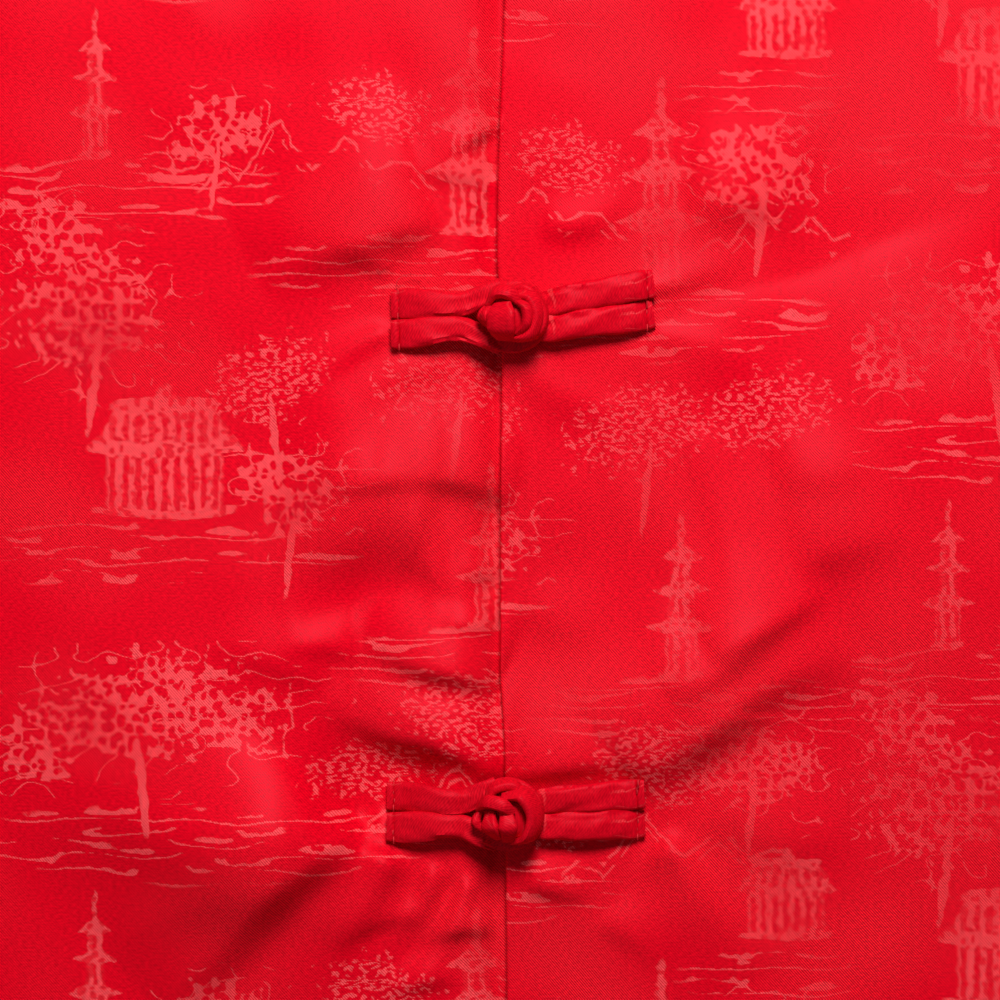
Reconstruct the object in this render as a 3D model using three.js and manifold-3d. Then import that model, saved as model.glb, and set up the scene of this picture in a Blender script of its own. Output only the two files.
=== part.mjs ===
// A samfu shirt lying on its back with the fastenings done up: two fronts that meet down the
// centre, a back, two set-in sleeves, a standing band collar and five frog fastenings.
// Millimetres. +Z is up from the surface it lies on, +Y runs from hem to neck and +X is the
// wearer's left. The wearer's left front laps over the right one.
import * as THREE from 'three';
import { mergeVertices } from 'three/addons/utils/BufferGeometryUtils.js';
import Module from 'manifold-3d';

const wasm = await Module();
wasm.setup();

// ---- driving dimensions ----
const CLOTH = 1.2; // wall of the satin with its turned edges
const SEAM_GAP = 0.3; // between pieces that are sewn or lie on each other
const LAP_GAP = 0.4; // between the two fronts where they lap

const BODY = {
  length: 680, // hem to the highest point of the shoulder
  chest: 540, // flat width at the underarm
  hem: 584, // flat width at the hem
  shoulder: 450, // tip to tip
  shoulderDrop: 45,
  armhole: 230, // depth, shoulder tip to underarm
  armholeHollow: 12, // how far its curve cuts in
  neck: 144, // width of the neckline
  backNeckDrop: 18,
  slit: 130, // open side slit above the hem
  slitSpread: 3, // the back shows this far past the front along a slit
  lap: 12, // how far the right front runs on under the left
  puff: 1.6, // air between the fronts and the back
  centrePuff: 1.2, // and more under the fastenings
};
const SLEEVE = {
  length: 540,
  cuff: 150, // flat width of the opening
  angle: THREE.MathUtils.degToRad(38), // below the horizontal, as laid
  edge: 2.8, // thickness of the folded edges
  puff: 1.6, // and how much more between them
};
const COLLAR = {
  height: 42,
  wall: 2,
  seamGap: 0.4,
  frontRise: THREE.MathUtils.degToRad(46), // slope of the band at the centre front
  backRise: THREE.MathUtils.degToRad(14), // and at the centre back
  corner: 12, // rounding of the front ends
};
const FROG = {
  count: 5,
  first: 17, // neckline to the first knot
  pitch: 99,
  thick: 2.1,
  endWidth: 5.8, // each run of the doubled strip at its sewn end
  neckWidth: 4.4, // and where it reaches the knot
  ringWidth: 3, // and round the loop
  runGap: 0.5,
  loopEnd: -22.5,
  knotEnd: 29.5,
  ringX: 2,
  ringRadius: 6.5,
  ringLift: 4.1, // middle of the loop above the cloth
  ballX: 2,
  ballRadius: 5,
  ballLift: 7.9,
  shankRadius: 1.7,
};

// ---- places worked out from them, with the hem at y = 0 ----
const ROW = BODY.armhole / 20; // grid pitch from underarm to shoulder
const NECK_Y = BODY.length;
const TIP_Y = NECK_Y - BODY.shoulderDrop;
const UNDERARM_Y = TIP_Y - BODY.armhole;
const FRONT_NECK_Y = TIP_Y - 3 * ROW;
const FRONT_DROP = NECK_Y - FRONT_NECK_Y;
const NECK_HALF = BODY.neck / 2;
const frogY = (k) => FRONT_NECK_Y - FROG.first - k * FROG.pitch;

const { lerp, clamp, smoothstep } = THREE.MathUtils;
const span = (n) => Array.from({ length: n + 1 }, (_, i) => i / n);

// ---- folds of the fronts: ridges where rise is positive, and troughs ----
// x0, y0 is where a fold starts and x1, y1 where it ends, half is its half width, and steeper
// says how much narrower it is on its one side than on the other. Bow curves it sideways. Some
// fade both ways; those that a fastening pulls flare out from it.
const FOLD_COLUMNS = ['x0', 'y0', 'x1', 'y1', 'half', 'rise', 'steeper', 'bow', 'form'];
const FOLDS = [
  [-12, 505, -47, 492, 10, 3.8, 0.35, 0, 'fade'],
  [38, 508, 64, 507, 11, 1.8, -0.35, 0, 'fade'],
  [2, 451, -26, 452.5, 9, 2, 0.7, 0, 'fade'],
  [-12, 448, -46, 446, 17, 2.8, 0, 0, 'fade'],
  [-14, 431, -40, 424, 7, -1.6, 0.1, 2, 'fade'],
  [2, 411.5, -26, 418, 8.5, 2.8, 0.6, 0, 'fade'],
  [2, 395.5, -36, 408, 8.5, 3.2, 0.45, -2, 'fade'],
  [0, 396, 34, 396, 8, 2.2, -0.5, 0, 'fade'],
  [26, 393, 70, 419, 11, 3.2, -0.4, 0, 'fade'],
  [44, 416, 66, 432, 9, 2, -0.5, 0, 'fade'],
  [58, 437, 80, 443, 10, 1.5, -0.45, 0, 'fade'],
  [-12, 388, -40, 385, 8, -2.4, 0.2, 0, 'fade'],
  [-30, 384, -64, 349, 10, 3.4, 0.4, 3, 'fade'],
  [-30, 380, -104, 384, 32, 3.4, 0.45, 4, 'fade'],
  [-22, 377, -38, 344, 8, 2.6, 0.3, 2, 'flare'],
  [30, 381, 50, 350, 7, 2, 0.2, 2, 'flare'],
  [78, 500, 128, 376, 28, 3, 0.3, 8, 'fade'],
  [-24, 590, -70, 564, 9, 2.6, 0.2, 3, 'flare'],
  [-22, 580, -62, 548, 7, -2, 0.2, 2, 'flare'],
  [30, 588, 74, 556, 9, 2.4, -0.2, -3, 'flare'],
  [-23, 292, -72, 318, 9, 2.8, 0.3, 3, 'flare'],
  [-24, 284, -56, 236, 10, 3, 0.2, 2, 'flare'],
  [30, 292, 74, 322, 9, 2.6, -0.3, -3, 'flare'],
  [29, 284, 58, 240, 10, 2.4, 0.2, 3, 'flare'],
  [-24, 192, -72, 218, 9, 2.8, 0.2, 3, 'flare'],
  [-22, 184, -52, 116, 12, 3.2, 0.2, 4, 'flare'],
  [30, 190, 78, 212, 9, 2.4, -0.2, -3, 'flare'],
  [30, 182, 60, 118, 12, 3, -0.2, -4, 'flare'],
  [-214, 600, -120, 470, 17, 3.4, 0.3, 6, 'fade'],
  [-250, 424, -150, 330, 18, 4.2, 0.3, 8, 'flare'],
  [-262, 380, -120, 250, 20, 3.2, 0.2, 10, 'fade'],
  [-150, 300, -176, 40, 24, 3.6, 0.2, 8, 'fade'],
  [-96, 250, -92, 10, 20, 2.8, 0.3, 6, 'fade'],
  [-244, 250, -238, 20, 20, 3, 0.2, 6, 'fade'],
  [212, 590, 122, 484, 17, 3, -0.3, -6, 'fade'],
  [252, 420, 138, 340, 18, 4, -0.3, -8, 'flare'],
  [262, 372, 160, 216, 20, 3.4, -0.2, -8, 'fade'],
  [118, 300, 150, 30, 24, 3.4, 0.2, 8, 'fade'],
  [84, 210, 70, 8, 19, 2.6, 0.2, -6, 'fade'],
  [232, 230, 246, 24, 20, 3.2, 0.2, 6, 'fade'],
].map((row) => Object.fromEntries(row.map((value, k) => [FOLD_COLUMNS[k], value])));

// Folds of a sleeve: places run from armhole to cuff and from shoulder to underarm edge.
const SLEEVE_FOLDS = [
  [0.02, 0.62, 0.42, 0.3, 0.1, 2.8, 0, 0, 'fade'],
  [0.04, 0.88, 0.5, 0.62, 0.1, 2.6, 0, 0, 'fade'],
  [0.3, 0.12, 0.72, 0.34, 0.1, 2.2, 0, 0, 'fade'],
  [0.46, 0.84, 0.86, 0.5, 0.12, 2.4, 0, 0, 'fade'],
  [0.66, 0.16, 0.98, 0.3, 0.12, 2.2, 0, 0, 'fade'],
].map((row) => Object.fromEntries(row.map((value, k) => [FOLD_COLUMNS[k], value])));

// Height of one fold at a point: round across, and fading along its length.
function foldHeight(px, py, fold) {
  const length = Math.hypot(fold.x1 - fold.x0, fold.y1 - fold.y0);
  const wayX = (fold.x1 - fold.x0) / length;
  const wayY = (fold.y1 - fold.y0) / length;
  const t = clamp(((px - fold.x0) * wayX + (py - fold.y0) * wayY) / length, 0, 1);
  const away = (px - fold.x0) * wayY - (py - fold.y0) * wayX - fold.bow * Math.sin(Math.PI * t);
  const width = fold.half * (away > 0 ? 1 + fold.steeper : 1 - fold.steeper);
  const across = (spread) => Math.exp(-((away / spread) ** 2));
  if (fold.form === 'fade') return fold.rise * across(width) * Math.sin(Math.PI * t ** 0.7);
  return fold.rise * across(width * (0.5 + 0.9 * t)) * smoothstep(t, 0, 0.12) * (1 - t) ** 0.9;
}

// ---- the body's outline, for the wearer's left half ----
const armholeRows = span(10).map((t) => {
  const y = UNDERARM_Y + t * BODY.armhole;
  const widening = ((BODY.chest - BODY.shoulder) / 2) * (1 - t) ** 3;
  const x = BODY.shoulder / 2 + widening - BODY.armholeHollow * Math.sin(Math.PI * t);
  return { x, y };
});

function sideX(y) {
  if (y <= UNDERARM_Y) return lerp(BODY.hem, BODY.chest, y / UNDERARM_Y) / 2;
  if (y >= TIP_Y) return lerp(BODY.shoulder / 2, NECK_HALF, (y - TIP_Y) / BODY.shoulderDrop);
  const step = ((y - UNDERARM_Y) / BODY.armhole) * 10;
  const k = Math.min(9, Math.floor(step));
  return lerp(armholeRows[k].x, armholeRows[k + 1].x, step - k);
}

function necklineX(y) {
  return y <= FRONT_NECK_Y ? 0 : NECK_HALF * Math.sqrt(1 - ((NECK_Y - y) / FRONT_DROP) ** 2);
}

// ---- height of the underside of the fronts above the surface ----
function frontHeight(x, y) {
  const toSide = (sideX(y) - Math.abs(x)) / 26;
  const lowest = CLOTH + SEAM_GAP;
  const nearCentre = 1 - smoothstep(Math.abs(x), 30, 90);
  let lift = BODY.puff + BODY.centrePuff * nearCentre * smoothstep(y, 0, 60);
  for (const fold of FOLDS) lift += foldHeight(x, y, fold);
  return lowest + lift * smoothstep(toSide, 0, 1);
}

// A cloth wall between two grids of points of the same size, closed round its four edges.
function wall(upper, lower) {
  const rows = upper.length;
  const cols = upper[0].length;
  const points = [...upper.flat(), ...lower.flat()];
  const top = (i, j) => i * cols + j;
  const under = (i, j) => rows * cols + i * cols + j;
  const faces = [];
  const quad = (a, b, c, d) => faces.push(a, b, c, a, c, d);
  for (let i = 0; i + 1 < rows; i++) {
    for (let j = 0; j + 1 < cols; j++) {
      quad(top(i, j), top(i, j + 1), top(i + 1, j + 1), top(i + 1, j));
      quad(under(i, j), under(i + 1, j), under(i + 1, j + 1), under(i, j + 1));
    }
  }
  for (let j = 0; j + 1 < cols; j++) {
    quad(under(0, j), under(0, j + 1), top(0, j + 1), top(0, j));
    quad(top(rows - 1, j), top(rows - 1, j + 1), under(rows - 1, j + 1), under(rows - 1, j));
  }
  for (let i = 0; i + 1 < rows; i++) {
    quad(top(i, 0), top(i + 1, 0), under(i + 1, 0), under(i, 0));
    quad(under(i, cols - 1), under(i + 1, cols - 1), top(i + 1, cols - 1), top(i, cols - 1));
  }
  return solid(points, faces);
}

// A cloth tube between rings of outer and inner points, open at both ends.
function tube(outer, inner) {
  const rings = outer.length;
  const n = outer[0].length;
  const points = [...outer.flat(), ...inner.flat()];
  const out = (i, k) => i * n + (k % n);
  const ins = (i, k) => rings * n + i * n + (k % n);
  const faces = [];
  const quad = (a, b, c, d) => faces.push(a, b, c, a, c, d);
  for (let k = 0; k < n; k++) {
    for (let i = 0; i + 1 < rings; i++) {
      quad(out(i, k), out(i + 1, k), out(i + 1, k + 1), out(i, k + 1));
      quad(ins(i, k), ins(i, k + 1), ins(i + 1, k + 1), ins(i + 1, k));
    }
    quad(out(0, k + 1), ins(0, k + 1), ins(0, k), out(0, k));
    quad(out(rings - 1, k), ins(rings - 1, k), ins(rings - 1, k + 1), out(rings - 1, k + 1));
  }
  return solid(points, faces);
}

// Indexed geometry with its faces turned outwards.
function solid(points, faces) {
  let volume = 0;
  for (let f = 0; f < faces.length; f += 3) {
    const [a, b, c] = [0, 1, 2].map((k) => points[faces[f + k]]);
    volume += a.dot(new THREE.Vector3().crossVectors(b, c));
  }
  const turned = volume > 0 ? faces : faces.map((_, k) => faces[k - (k % 3) + ((3 - (k % 3)) % 3)]);
  return new THREE.BufferGeometry().setFromPoints(points).setIndex(turned);
}

// ---- materials ----
const satin = new THREE.MeshStandardMaterial({ color: '#d8062a', roughness: 0.42, metalness: 0 });
const frogSatin = new THREE.MeshStandardMaterial({ color: '#c80424', roughness: 0.38, metalness: 0 });

const garment = new THREE.Group();
function sew(name, geometry, material) {
  geometry.computeVertexNormals();
  const mesh = new THREE.Mesh(geometry, material);
  mesh.name = name;
  garment.add(mesh);
  return mesh;
}

// ---- fronts: rows from hem to shoulder, closer where the fastenings pull the cloth ----
const CHEST_Y = UNDERARM_Y - 75;
const frontRows = [
  ...span(12).map((t) => t * CHEST_Y),
  ...span(8).slice(1).map((t) => lerp(CHEST_Y, UNDERARM_Y, t)),
  ...span(22).slice(1).map((t) => lerp(UNDERARM_Y, FRONT_NECK_Y, t)),
  FRONT_NECK_Y + 1.5,
  FRONT_NECK_Y + 5.5,
  ...span(3).slice(1).map((t) => lerp(FRONT_NECK_Y, TIP_Y, t)),
  ...span(4).slice(1).map((t) => lerp(TIP_Y, NECK_Y - 1, t)),
];
const LAP_STEPS = [0, 0.5, 1].map((t) => t * BODY.lap); // columns that both fronts share under the lap
const CORNER_STEP = 0.4; // columns of the right front drawn together along the neckline
const OUTER_STEPS = [20, 28, 37, 48, 60, 74, 92, 112, 142, 175, 208, 238, 270]; // at the chest

// x of each column in a row, from the centre edge outwards, for the wearer's left half.
function columnsOf(y) {
  const [first, last] = [OUTER_STEPS[0], OUTER_STEPS.at(-1)];
  const from = necklineX(y);
  const to = sideX(y);
  if (from === 0) {
    return [...LAP_STEPS, ...OUTER_STEPS.map((c) => lerp(first, to, (c - first) / (last - first)))];
  }
  return [...LAP_STEPS, ...OUTER_STEPS].map((c) => lerp(from, to, c / last));
}

// The right front runs on under the left by the lap, cut away at its neck corner.
function underColumnsOf(y) {
  const [edge, ...rest] = columnsOf(y);
  if (y < FRONT_NECK_Y) return [...LAP_STEPS.slice(1).map((x) => -x).reverse(), edge, ...rest];
  return [edge, edge + CORNER_STEP, edge + 2 * CORNER_STEP, ...rest];
}

// Both fronts run from the wearer's right to left, so that they bend alike where they lap.
function frontPanel(side) {
  const isUnder = side < 0;
  const sheet = frontRows.map((y) => {
    const across = isUnder ? underColumnsOf(y).map((x) => -x).reverse() : columnsOf(y);
    return across.map((x) => {
      const dip = isUnder ? (CLOTH + LAP_GAP) * smoothstep(x, -9, 0) : 0;
      return new THREE.Vector3(x, y, frontHeight(x, y) - dip);
    });
  });
  const upper = sheet.map((row) => row.map((p) => p.clone().setZ(p.z + CLOTH)));
  return wall(upper, sheet);
}
const frontRight = sew('front_right', frontPanel(-1), satin);
const frontLeft = sew('front_left', frontPanel(1), satin);

// ---- back: one flat piece, under everything ----
const backNeck = span(9).map((t) => ({
  x: NECK_HALF * Math.cos(Math.PI * t),
  y: NECK_Y - BODY.backNeckDrop * Math.sin(Math.PI * t),
}));
function backPanel() {
  const spread = (y) => BODY.slitSpread * (1 - smoothstep(y, BODY.slit - 20, BODY.slit));
  const halfEdge = [
    ...span(6).map((t) => t * UNDERARM_Y).map((y) => ({ x: sideX(y) + spread(y), y })),
    ...armholeRows.slice(1),
  ];
  const right = halfEdge.map((p) => new THREE.Vector2(p.x, p.y));
  const neck = backNeck.map((p) => new THREE.Vector2(p.x, p.y));
  const left = halfEdge.map((p) => new THREE.Vector2(-p.x, p.y)).reverse();
  const outline = new THREE.Shape([...right, ...neck, ...left]);
  return new THREE.ExtrudeGeometry(outline, { depth: CLOTH, bevelEnabled: false });
}
sew('back', backPanel(), satin);

// ---- sleeves: flattened tubes from the armhole polyline to the cuff ----
const SLEEVE_RINGS = 15;
function sleeveTube(side) {
  const shoulderWay = new THREE.Vector2(Math.cos(SLEEVE.angle), -Math.sin(SLEEVE.angle));
  const cuffWay = new THREE.Vector2(-Math.sin(SLEEVE.angle), -Math.cos(SLEEVE.angle));
  const tip = new THREE.Vector2(BODY.shoulder / 2, TIP_Y);
  const cuffTop = tip.clone().addScaledVector(shoulderWay, SLEEVE.length);
  const armhole = [...armholeRows].reverse().map((p) => new THREE.Vector2(p.x + SEAM_GAP, p.y));
  const place = (along, k) => {
    const cuff = cuffTop.clone().addScaledVector(cuffWay, (k / 10) * SLEEVE.cuff);
    return armhole[k].clone().lerp(cuff, along);
  };
  const insidePlace = (along, k) => {
    const p = place(along, k);
    if (k > 0 && k < 10) return p;
    const inwards = place(along, k === 0 ? 1 : 9).sub(p).normalize();
    return p.addScaledVector(inwards, CLOTH);
  };
  const topZ = (along, across) => {
    const swell = Math.sin(Math.PI * across) ** 0.8 * smoothstep(along, 0, 0.1);
    let z = SLEEVE.edge + SLEEVE.puff * swell * (1 - 0.5 * smoothstep(along, 0.8, 1));
    for (const fold of SLEEVE_FOLDS) z += swell * foldHeight(along, across, fold);
    return z;
  };
  const ring = (along, inset) => {
    const upper = span(10).map((a, k) => ({ k, z: topZ(along, a) - (inset ? CLOTH : 0) }));
    const lower = span(10).map((_, k) => ({ k: 10 - k, z: inset ? CLOTH : 0 }));
    return [...upper, ...lower].map(({ k, z }) => {
      const p = inset ? insidePlace(along, k) : place(along, k);
      return new THREE.Vector3(side * p.x, p.y, z);
    });
  };
  const stations = span(SLEEVE_RINGS - 1);
  return tube(stations.map((s) => ring(s, false)), stations.map((s) => ring(s, true)));
}
sew('sleeve_right', sleeveTube(-1), satin);
sew('sleeve_left', sleeveTube(1), satin);

// ---- collar: a band that stands up from the neckline, sloping back behind the neck ----
function collarBand() {
  const inset = 1 - COLLAR.seamGap / NECK_HALF;
  const frontCurve = frontRows
    .filter((y) => y >= FRONT_NECK_Y)
    .map((y) => new THREE.Vector2(necklineX(y) * inset, NECK_Y - (NECK_Y - y) * inset));
  const ends = [0.06, 0.18, 0.4, 0.7].map((t) => frontCurve[0].clone().lerp(frontCurve[1], t));
  const leftFront = [new THREE.Vector2(0.5, frontCurve[0].y), ...ends, ...frontCurve.slice(1)];
  const behind = backNeck.slice(1, -1).map((p) => new THREE.Vector2(p.x * inset, p.y + COLLAR.seamGap));
  const rightFront = leftFront.map((p) => new THREE.Vector2(-p.x, p.y)).reverse();
  const base = [...leftFront, ...behind, ...rightFront];
  const fromEnd = (p) => Math.abs(p.x) + Math.max(0, p.y - FRONT_NECK_Y);
  const isFront = (k) => k < leftFront.length || k >= leftFront.length + behind.length;

  const backness = (k) => (isFront(k)
    ? 0.5 * smoothstep(base[k].y, FRONT_NECK_Y, NECK_Y)
    : 1 - 0.5 * (Math.abs(base[k].x) / NECK_HALF));
  const heights = base.map((p) => {
    const d = clamp(fromEnd(p) / COLLAR.corner, 0, 1);
    return COLLAR.height - COLLAR.corner * (1 - Math.sqrt(1 - (1 - d) ** 2));
  });

  // Its outer face rises from these feet, and the wall thickens inwards, or upwards behind.
  const feet = base.map((p, k) => {
    const z = isFront(k) ? frontHeight(Math.sign(p.x) * (Math.abs(p.x) + 1), p.y) : SEAM_GAP;
    return new THREE.Vector3(p.x, p.y, z);
  });
  const outer = span(4).map((t) => feet.map((foot, k) => {
    const rise = lerp(COLLAR.frontRise, COLLAR.backRise, backness(k));
    const way = new THREE.Vector3(0, Math.cos(rise), Math.sin(rise));
    return foot.clone().addScaledVector(way, t * heights[k]);
  }));
  const thicken = base.map((_, k) => {
    const up = new THREE.Vector3(0, 0, COLLAR.wall);
    if (!isFront(k)) return up;
    const along = base[Math.min(k + 1, base.length - 1)].clone().sub(base[Math.max(k - 1, 0)]);
    const inwards = new THREE.Vector3(-along.y, along.x, 0).setLength(COLLAR.wall);
    return inwards.lerp(up, backness(k)).setLength(COLLAR.wall);
  });
  const inner = outer.map((row) => row.map((p, k) => p.clone().add(thicken[k])));
  return wall(outer, inner);
}
sew('collar', collarBand(), satin);

// ---- frog fastenings: a doubled satin strip each side, one ending in a loop, one in a knot ----
const ray = new THREE.Raycaster();
const down = new THREE.Vector3(0, 0, -1);
garment.updateMatrixWorld(true);

// Highest point of the fronts within reach of a point.
function clothTop(x, y, reach) {
  const offsets = [[0, 0], [reach, 0], [-reach, 0], [0, reach], [0, -reach]];
  const heights = offsets.map(([dx, dy]) => {
    ray.set(new THREE.Vector3(x + dx, y + dy, 100), down);
    const hit = ray.intersectObjects([frontRight, frontLeft])[0];
    return hit ? hit.point.z : 0;
  });
  return Math.max(...heights);
}

// A flattened strip along a path, kept level across, with its width given along it.
function strip(path, widthAt, steps, sides = 6) {
  const curve = new THREE.CatmullRomCurve3(path, false, 'centripetal');
  const points = span(steps).flatMap((t) => {
    const centre = curve.getPointAt(t);
    const tangent = curve.getTangentAt(t);
    const across = new THREE.Vector3(-tangent.y, tangent.x, 0).normalize();
    const up = new THREE.Vector3().crossVectors(tangent, across).normalize();
    return span(sides - 1).map((_, k) => {
      const a = (2 * Math.PI * k) / sides;
      return centre.clone()
        .addScaledVector(across, (Math.cos(a) * widthAt(t)) / 2)
        .addScaledVector(up, (Math.sin(a) * FROG.thick) / 2 / Math.sin(Math.PI / 3));
    });
  });
  const faces = [];
  for (let i = 0; i < steps; i++) {
    for (let k = 0; k < sides; k++) {
      const [a, b] = [i * sides + k, i * sides + ((k + 1) % sides)];
      faces.push(a, b, b + sides, a, b + sides, a + sides);
    }
  }
  for (let k = 1; k + 1 < sides; k++) {
    faces.push(0, k + 1, k, steps * sides, steps * sides + k, steps * sides + k + 1);
  }
  return solid(points, faces);
}

function manifoldOf(geometry) {
  const bare = geometry.clone();
  bare.deleteAttribute('normal');
  bare.deleteAttribute('uv');
  const merged = mergeVertices(bare, 1e-4);
  return new wasm.Manifold(new wasm.Mesh({
    numProp: 3,
    vertProperties: merged.attributes.position.array,
    triVerts: new Uint32Array(merged.index.array),
  }));
}

function geometryOf(manifold) {
  const { vertProperties, triVerts } = manifold.getMesh();
  return new THREE.BufferGeometry()
    .setAttribute('position', new THREE.BufferAttribute(new Float32Array(vertProperties), 3))
    .setIndex(new THREE.BufferAttribute(new Uint32Array(triVerts), 1));
}

// One run of an arm, from its sewn end towards the knot: it bows up off the cloth between.
// Rows give x, the offset across and the lift of its underside above the cloth below it.
function armRun(endX, ySign, lifts) {
  const side = Math.sign(endX);
  const wide = (FROG.endWidth + FROG.runGap) / 2;
  const narrow = (FROG.neckWidth + FROG.runGap) / 2;
  return [
    [endX, ySign * wide, lifts[0]],
    [endX - side * 5, ySign * wide, lifts[1]],
    [side * 17, ySign * lerp(wide, narrow, 0.5), lifts[2]],
  ];
}

const halfThick = FROG.thick / 2;
const restOn = (y) => ([x, dy, lift]) => {
  const z = clothTop(x, y + dy, FROG.endWidth / 2) + SEAM_GAP + lift + halfThick;
  return new THREE.Vector3(x, y + dy, z);
};
const widthAlong = (fromEnd) => lerp(FROG.endWidth, FROG.neckWidth, smoothstep(fromEnd, 0.1, 0.7));

// The loop's strip runs out, once round behind the ball, and back.
function loopStrip(y, cloth) {
  const out = armRun(FROG.loopEnd, 1, [0.1, 0.7, 1.6]);
  const back = armRun(FROG.loopEnd, -1, [0.1, 0.7, 1.6]).reverse();
  const ringZ = cloth + FROG.ringLift;
  const at = (x, dy, z) => new THREE.Vector3(x, y + dy, z);
  const ring = [-110, -75, -40, 0, 40, 75, 110].map((degrees) => {
    const a = THREE.MathUtils.degToRad(-degrees);
    return at(FROG.ringX + FROG.ringRadius * Math.cos(a), FROG.ringRadius * Math.sin(a), ringZ);
  });
  const neck = (FROG.neckWidth + FROG.runGap) / 2;
  const path = [
    ...out.map(restOn(y)),
    at(-7, neck + 0.4, ringZ - 0.5),
    ...ring,
    at(-7, -neck - 0.4, ringZ - 0.5),
    ...back.map(restOn(y)),
  ];
  const widthAt = (t) => {
    const fromEnd = 1 - Math.abs(2 * t - 1);
    return lerp(widthAlong(fromEnd), FROG.ringWidth, smoothstep(fromEnd, 0.5, 0.75));
  };
  return strip(path, widthAt, 28);
}

// The ball of the knot, with three crossing turns of the strip standing out from it.
function knotBall(centre) {
  const ball = new THREE.SphereGeometry(FROG.ballRadius, 18, 11);
  const turnAxes = [[0.9, 0.3, 0.3], [-0.3, 0.9, 0.3], [-0.35, -0.35, 0.87]];
  const turns = turnAxes.map((axis) => new THREE.Vector3(...axis).normalize());
  const at = ball.attributes.position;
  for (let k = 0; k < at.count; k++) {
    const p = new THREE.Vector3().fromBufferAttribute(at, k);
    const unit = p.clone().normalize();
    const nearest = Math.min(...turns.map((n) => Math.abs(unit.dot(n))));
    p.multiplyScalar(1 + 0.07 * (1 - smoothstep(nearest, 0.05, 0.4))).add(centre);
    at.setXYZ(k, p.x, p.y, p.z);
  }
  return ball;
}

// The knot's strip comes in as two runs under the loop, up through it and into the ball.
function knotStrip(y, cloth) {
  const low = cloth + SEAM_GAP + halfThick + 0.2;
  const centre = new THREE.Vector3(FROG.ballX, y, cloth + FROG.ballLift);
  const shank = new THREE.CylinderGeometry(FROG.shankRadius, FROG.shankRadius, centre.z - low, 8);
  shank.rotateX(Math.PI / 2).translate(FROG.ringX, y, (centre.z + low) / 2);
  let knot = manifoldOf(knotBall(centre)).add(manifoldOf(shank));
  for (const ySign of [1, -1]) {
    const path = [
      ...armRun(FROG.knotEnd, ySign, [0.1, 0.9, 1.5]).map(restOn(y)),
      new THREE.Vector3(11.5, y + ySign * 2.4, low),
      new THREE.Vector3(7, y + ySign * 2, low),
      new THREE.Vector3(FROG.ringX, y + ySign * 1.3, low),
    ];
    knot = knot.add(manifoldOf(strip(path, widthAlong, 12)));
  }
  return geometryOf(knot);
}

for (let k = 0; k < FROG.count; k++) {
  const y = frogY(k);
  const cloth = clothTop(FROG.ringX, y, 9);
  sew(`frog_${k + 1}_loop`, loopStrip(y, cloth), frogSatin);
  sew(`frog_${k + 1}_knot`, knotStrip(y, cloth), frogSatin);
}

// The origin is the middle of the garment's outline, on the surface it lies on.
const outline = new THREE.Box3().setFromObject(garment);
const middle = outline.getCenter(new THREE.Vector3());
garment.position.set(-middle.x, -middle.y, -outline.min.z);

export default garment;
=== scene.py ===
import math

import bpy
import numpy as np
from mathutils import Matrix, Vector, noise


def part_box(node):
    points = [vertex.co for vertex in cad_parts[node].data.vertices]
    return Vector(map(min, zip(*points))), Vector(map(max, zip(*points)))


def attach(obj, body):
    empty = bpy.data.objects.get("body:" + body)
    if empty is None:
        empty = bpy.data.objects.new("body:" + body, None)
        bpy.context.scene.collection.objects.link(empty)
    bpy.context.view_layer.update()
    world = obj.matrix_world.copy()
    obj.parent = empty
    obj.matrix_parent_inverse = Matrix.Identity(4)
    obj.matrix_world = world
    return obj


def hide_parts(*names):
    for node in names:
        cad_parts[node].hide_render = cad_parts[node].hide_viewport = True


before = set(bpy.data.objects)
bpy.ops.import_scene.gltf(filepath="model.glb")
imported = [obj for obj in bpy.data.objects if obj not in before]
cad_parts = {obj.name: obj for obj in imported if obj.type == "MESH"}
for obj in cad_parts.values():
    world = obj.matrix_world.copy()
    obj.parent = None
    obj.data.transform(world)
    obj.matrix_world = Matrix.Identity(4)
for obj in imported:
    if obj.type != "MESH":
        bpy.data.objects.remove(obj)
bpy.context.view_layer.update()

# ---- Back ----
# The back is one flat piece of red satin damask, cut with a shallow neck scoop, armholes and
# open side slits. It is laid out first, in millimetres from the hem, and everything lies on it.
MM = 0.001
HEM_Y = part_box("back")[0][1] / MM
CLOTH = 1.2  # satin with its turned edges
GAP = 0.3  # where pieces are sewn or lie on each other
LENGTH = 680
CHEST_HALF = 270
HEM_HALF = 292
TIP_HALF = 225
NECK_HALF = 72
SHOULDER_DROP = 45
ARMHOLE = 230
BACK_NECK_DROP = 18
SLIT = 130
SLIT_SPREAD = 3
TIP_Y = LENGTH - SHOULDER_DROP
UNDERARM_Y = TIP_Y - ARMHOLE

arm_steps = np.linspace(0, 1, 11)
arm_y = UNDERARM_Y + arm_steps * ARMHOLE
arm_x = TIP_HALF + (CHEST_HALF - TIP_HALF) * (1 - arm_steps) ** 3 - 12 * np.sin(np.pi * arm_steps)


def side_x(y):
    """Half width of the body at a height above the hem."""
    return np.interp(y, [0, *arm_y, LENGTH], [HEM_HALF, *arm_x, NECK_HALF])


def smooth(value, low, high):
    t = np.clip((value - low) / (high - low), 0, 1)
    return t * t * (3 - 2 * t)


def soft_noise(x, y, size, seed):
    """Rounded random swells about as wide as size."""
    spots = zip(np.ravel(x) / size, np.ravel(y) / size)
    return np.array([noise.noise(Vector((a, b, seed))) for a, b in spots]).reshape(np.shape(x))


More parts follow.
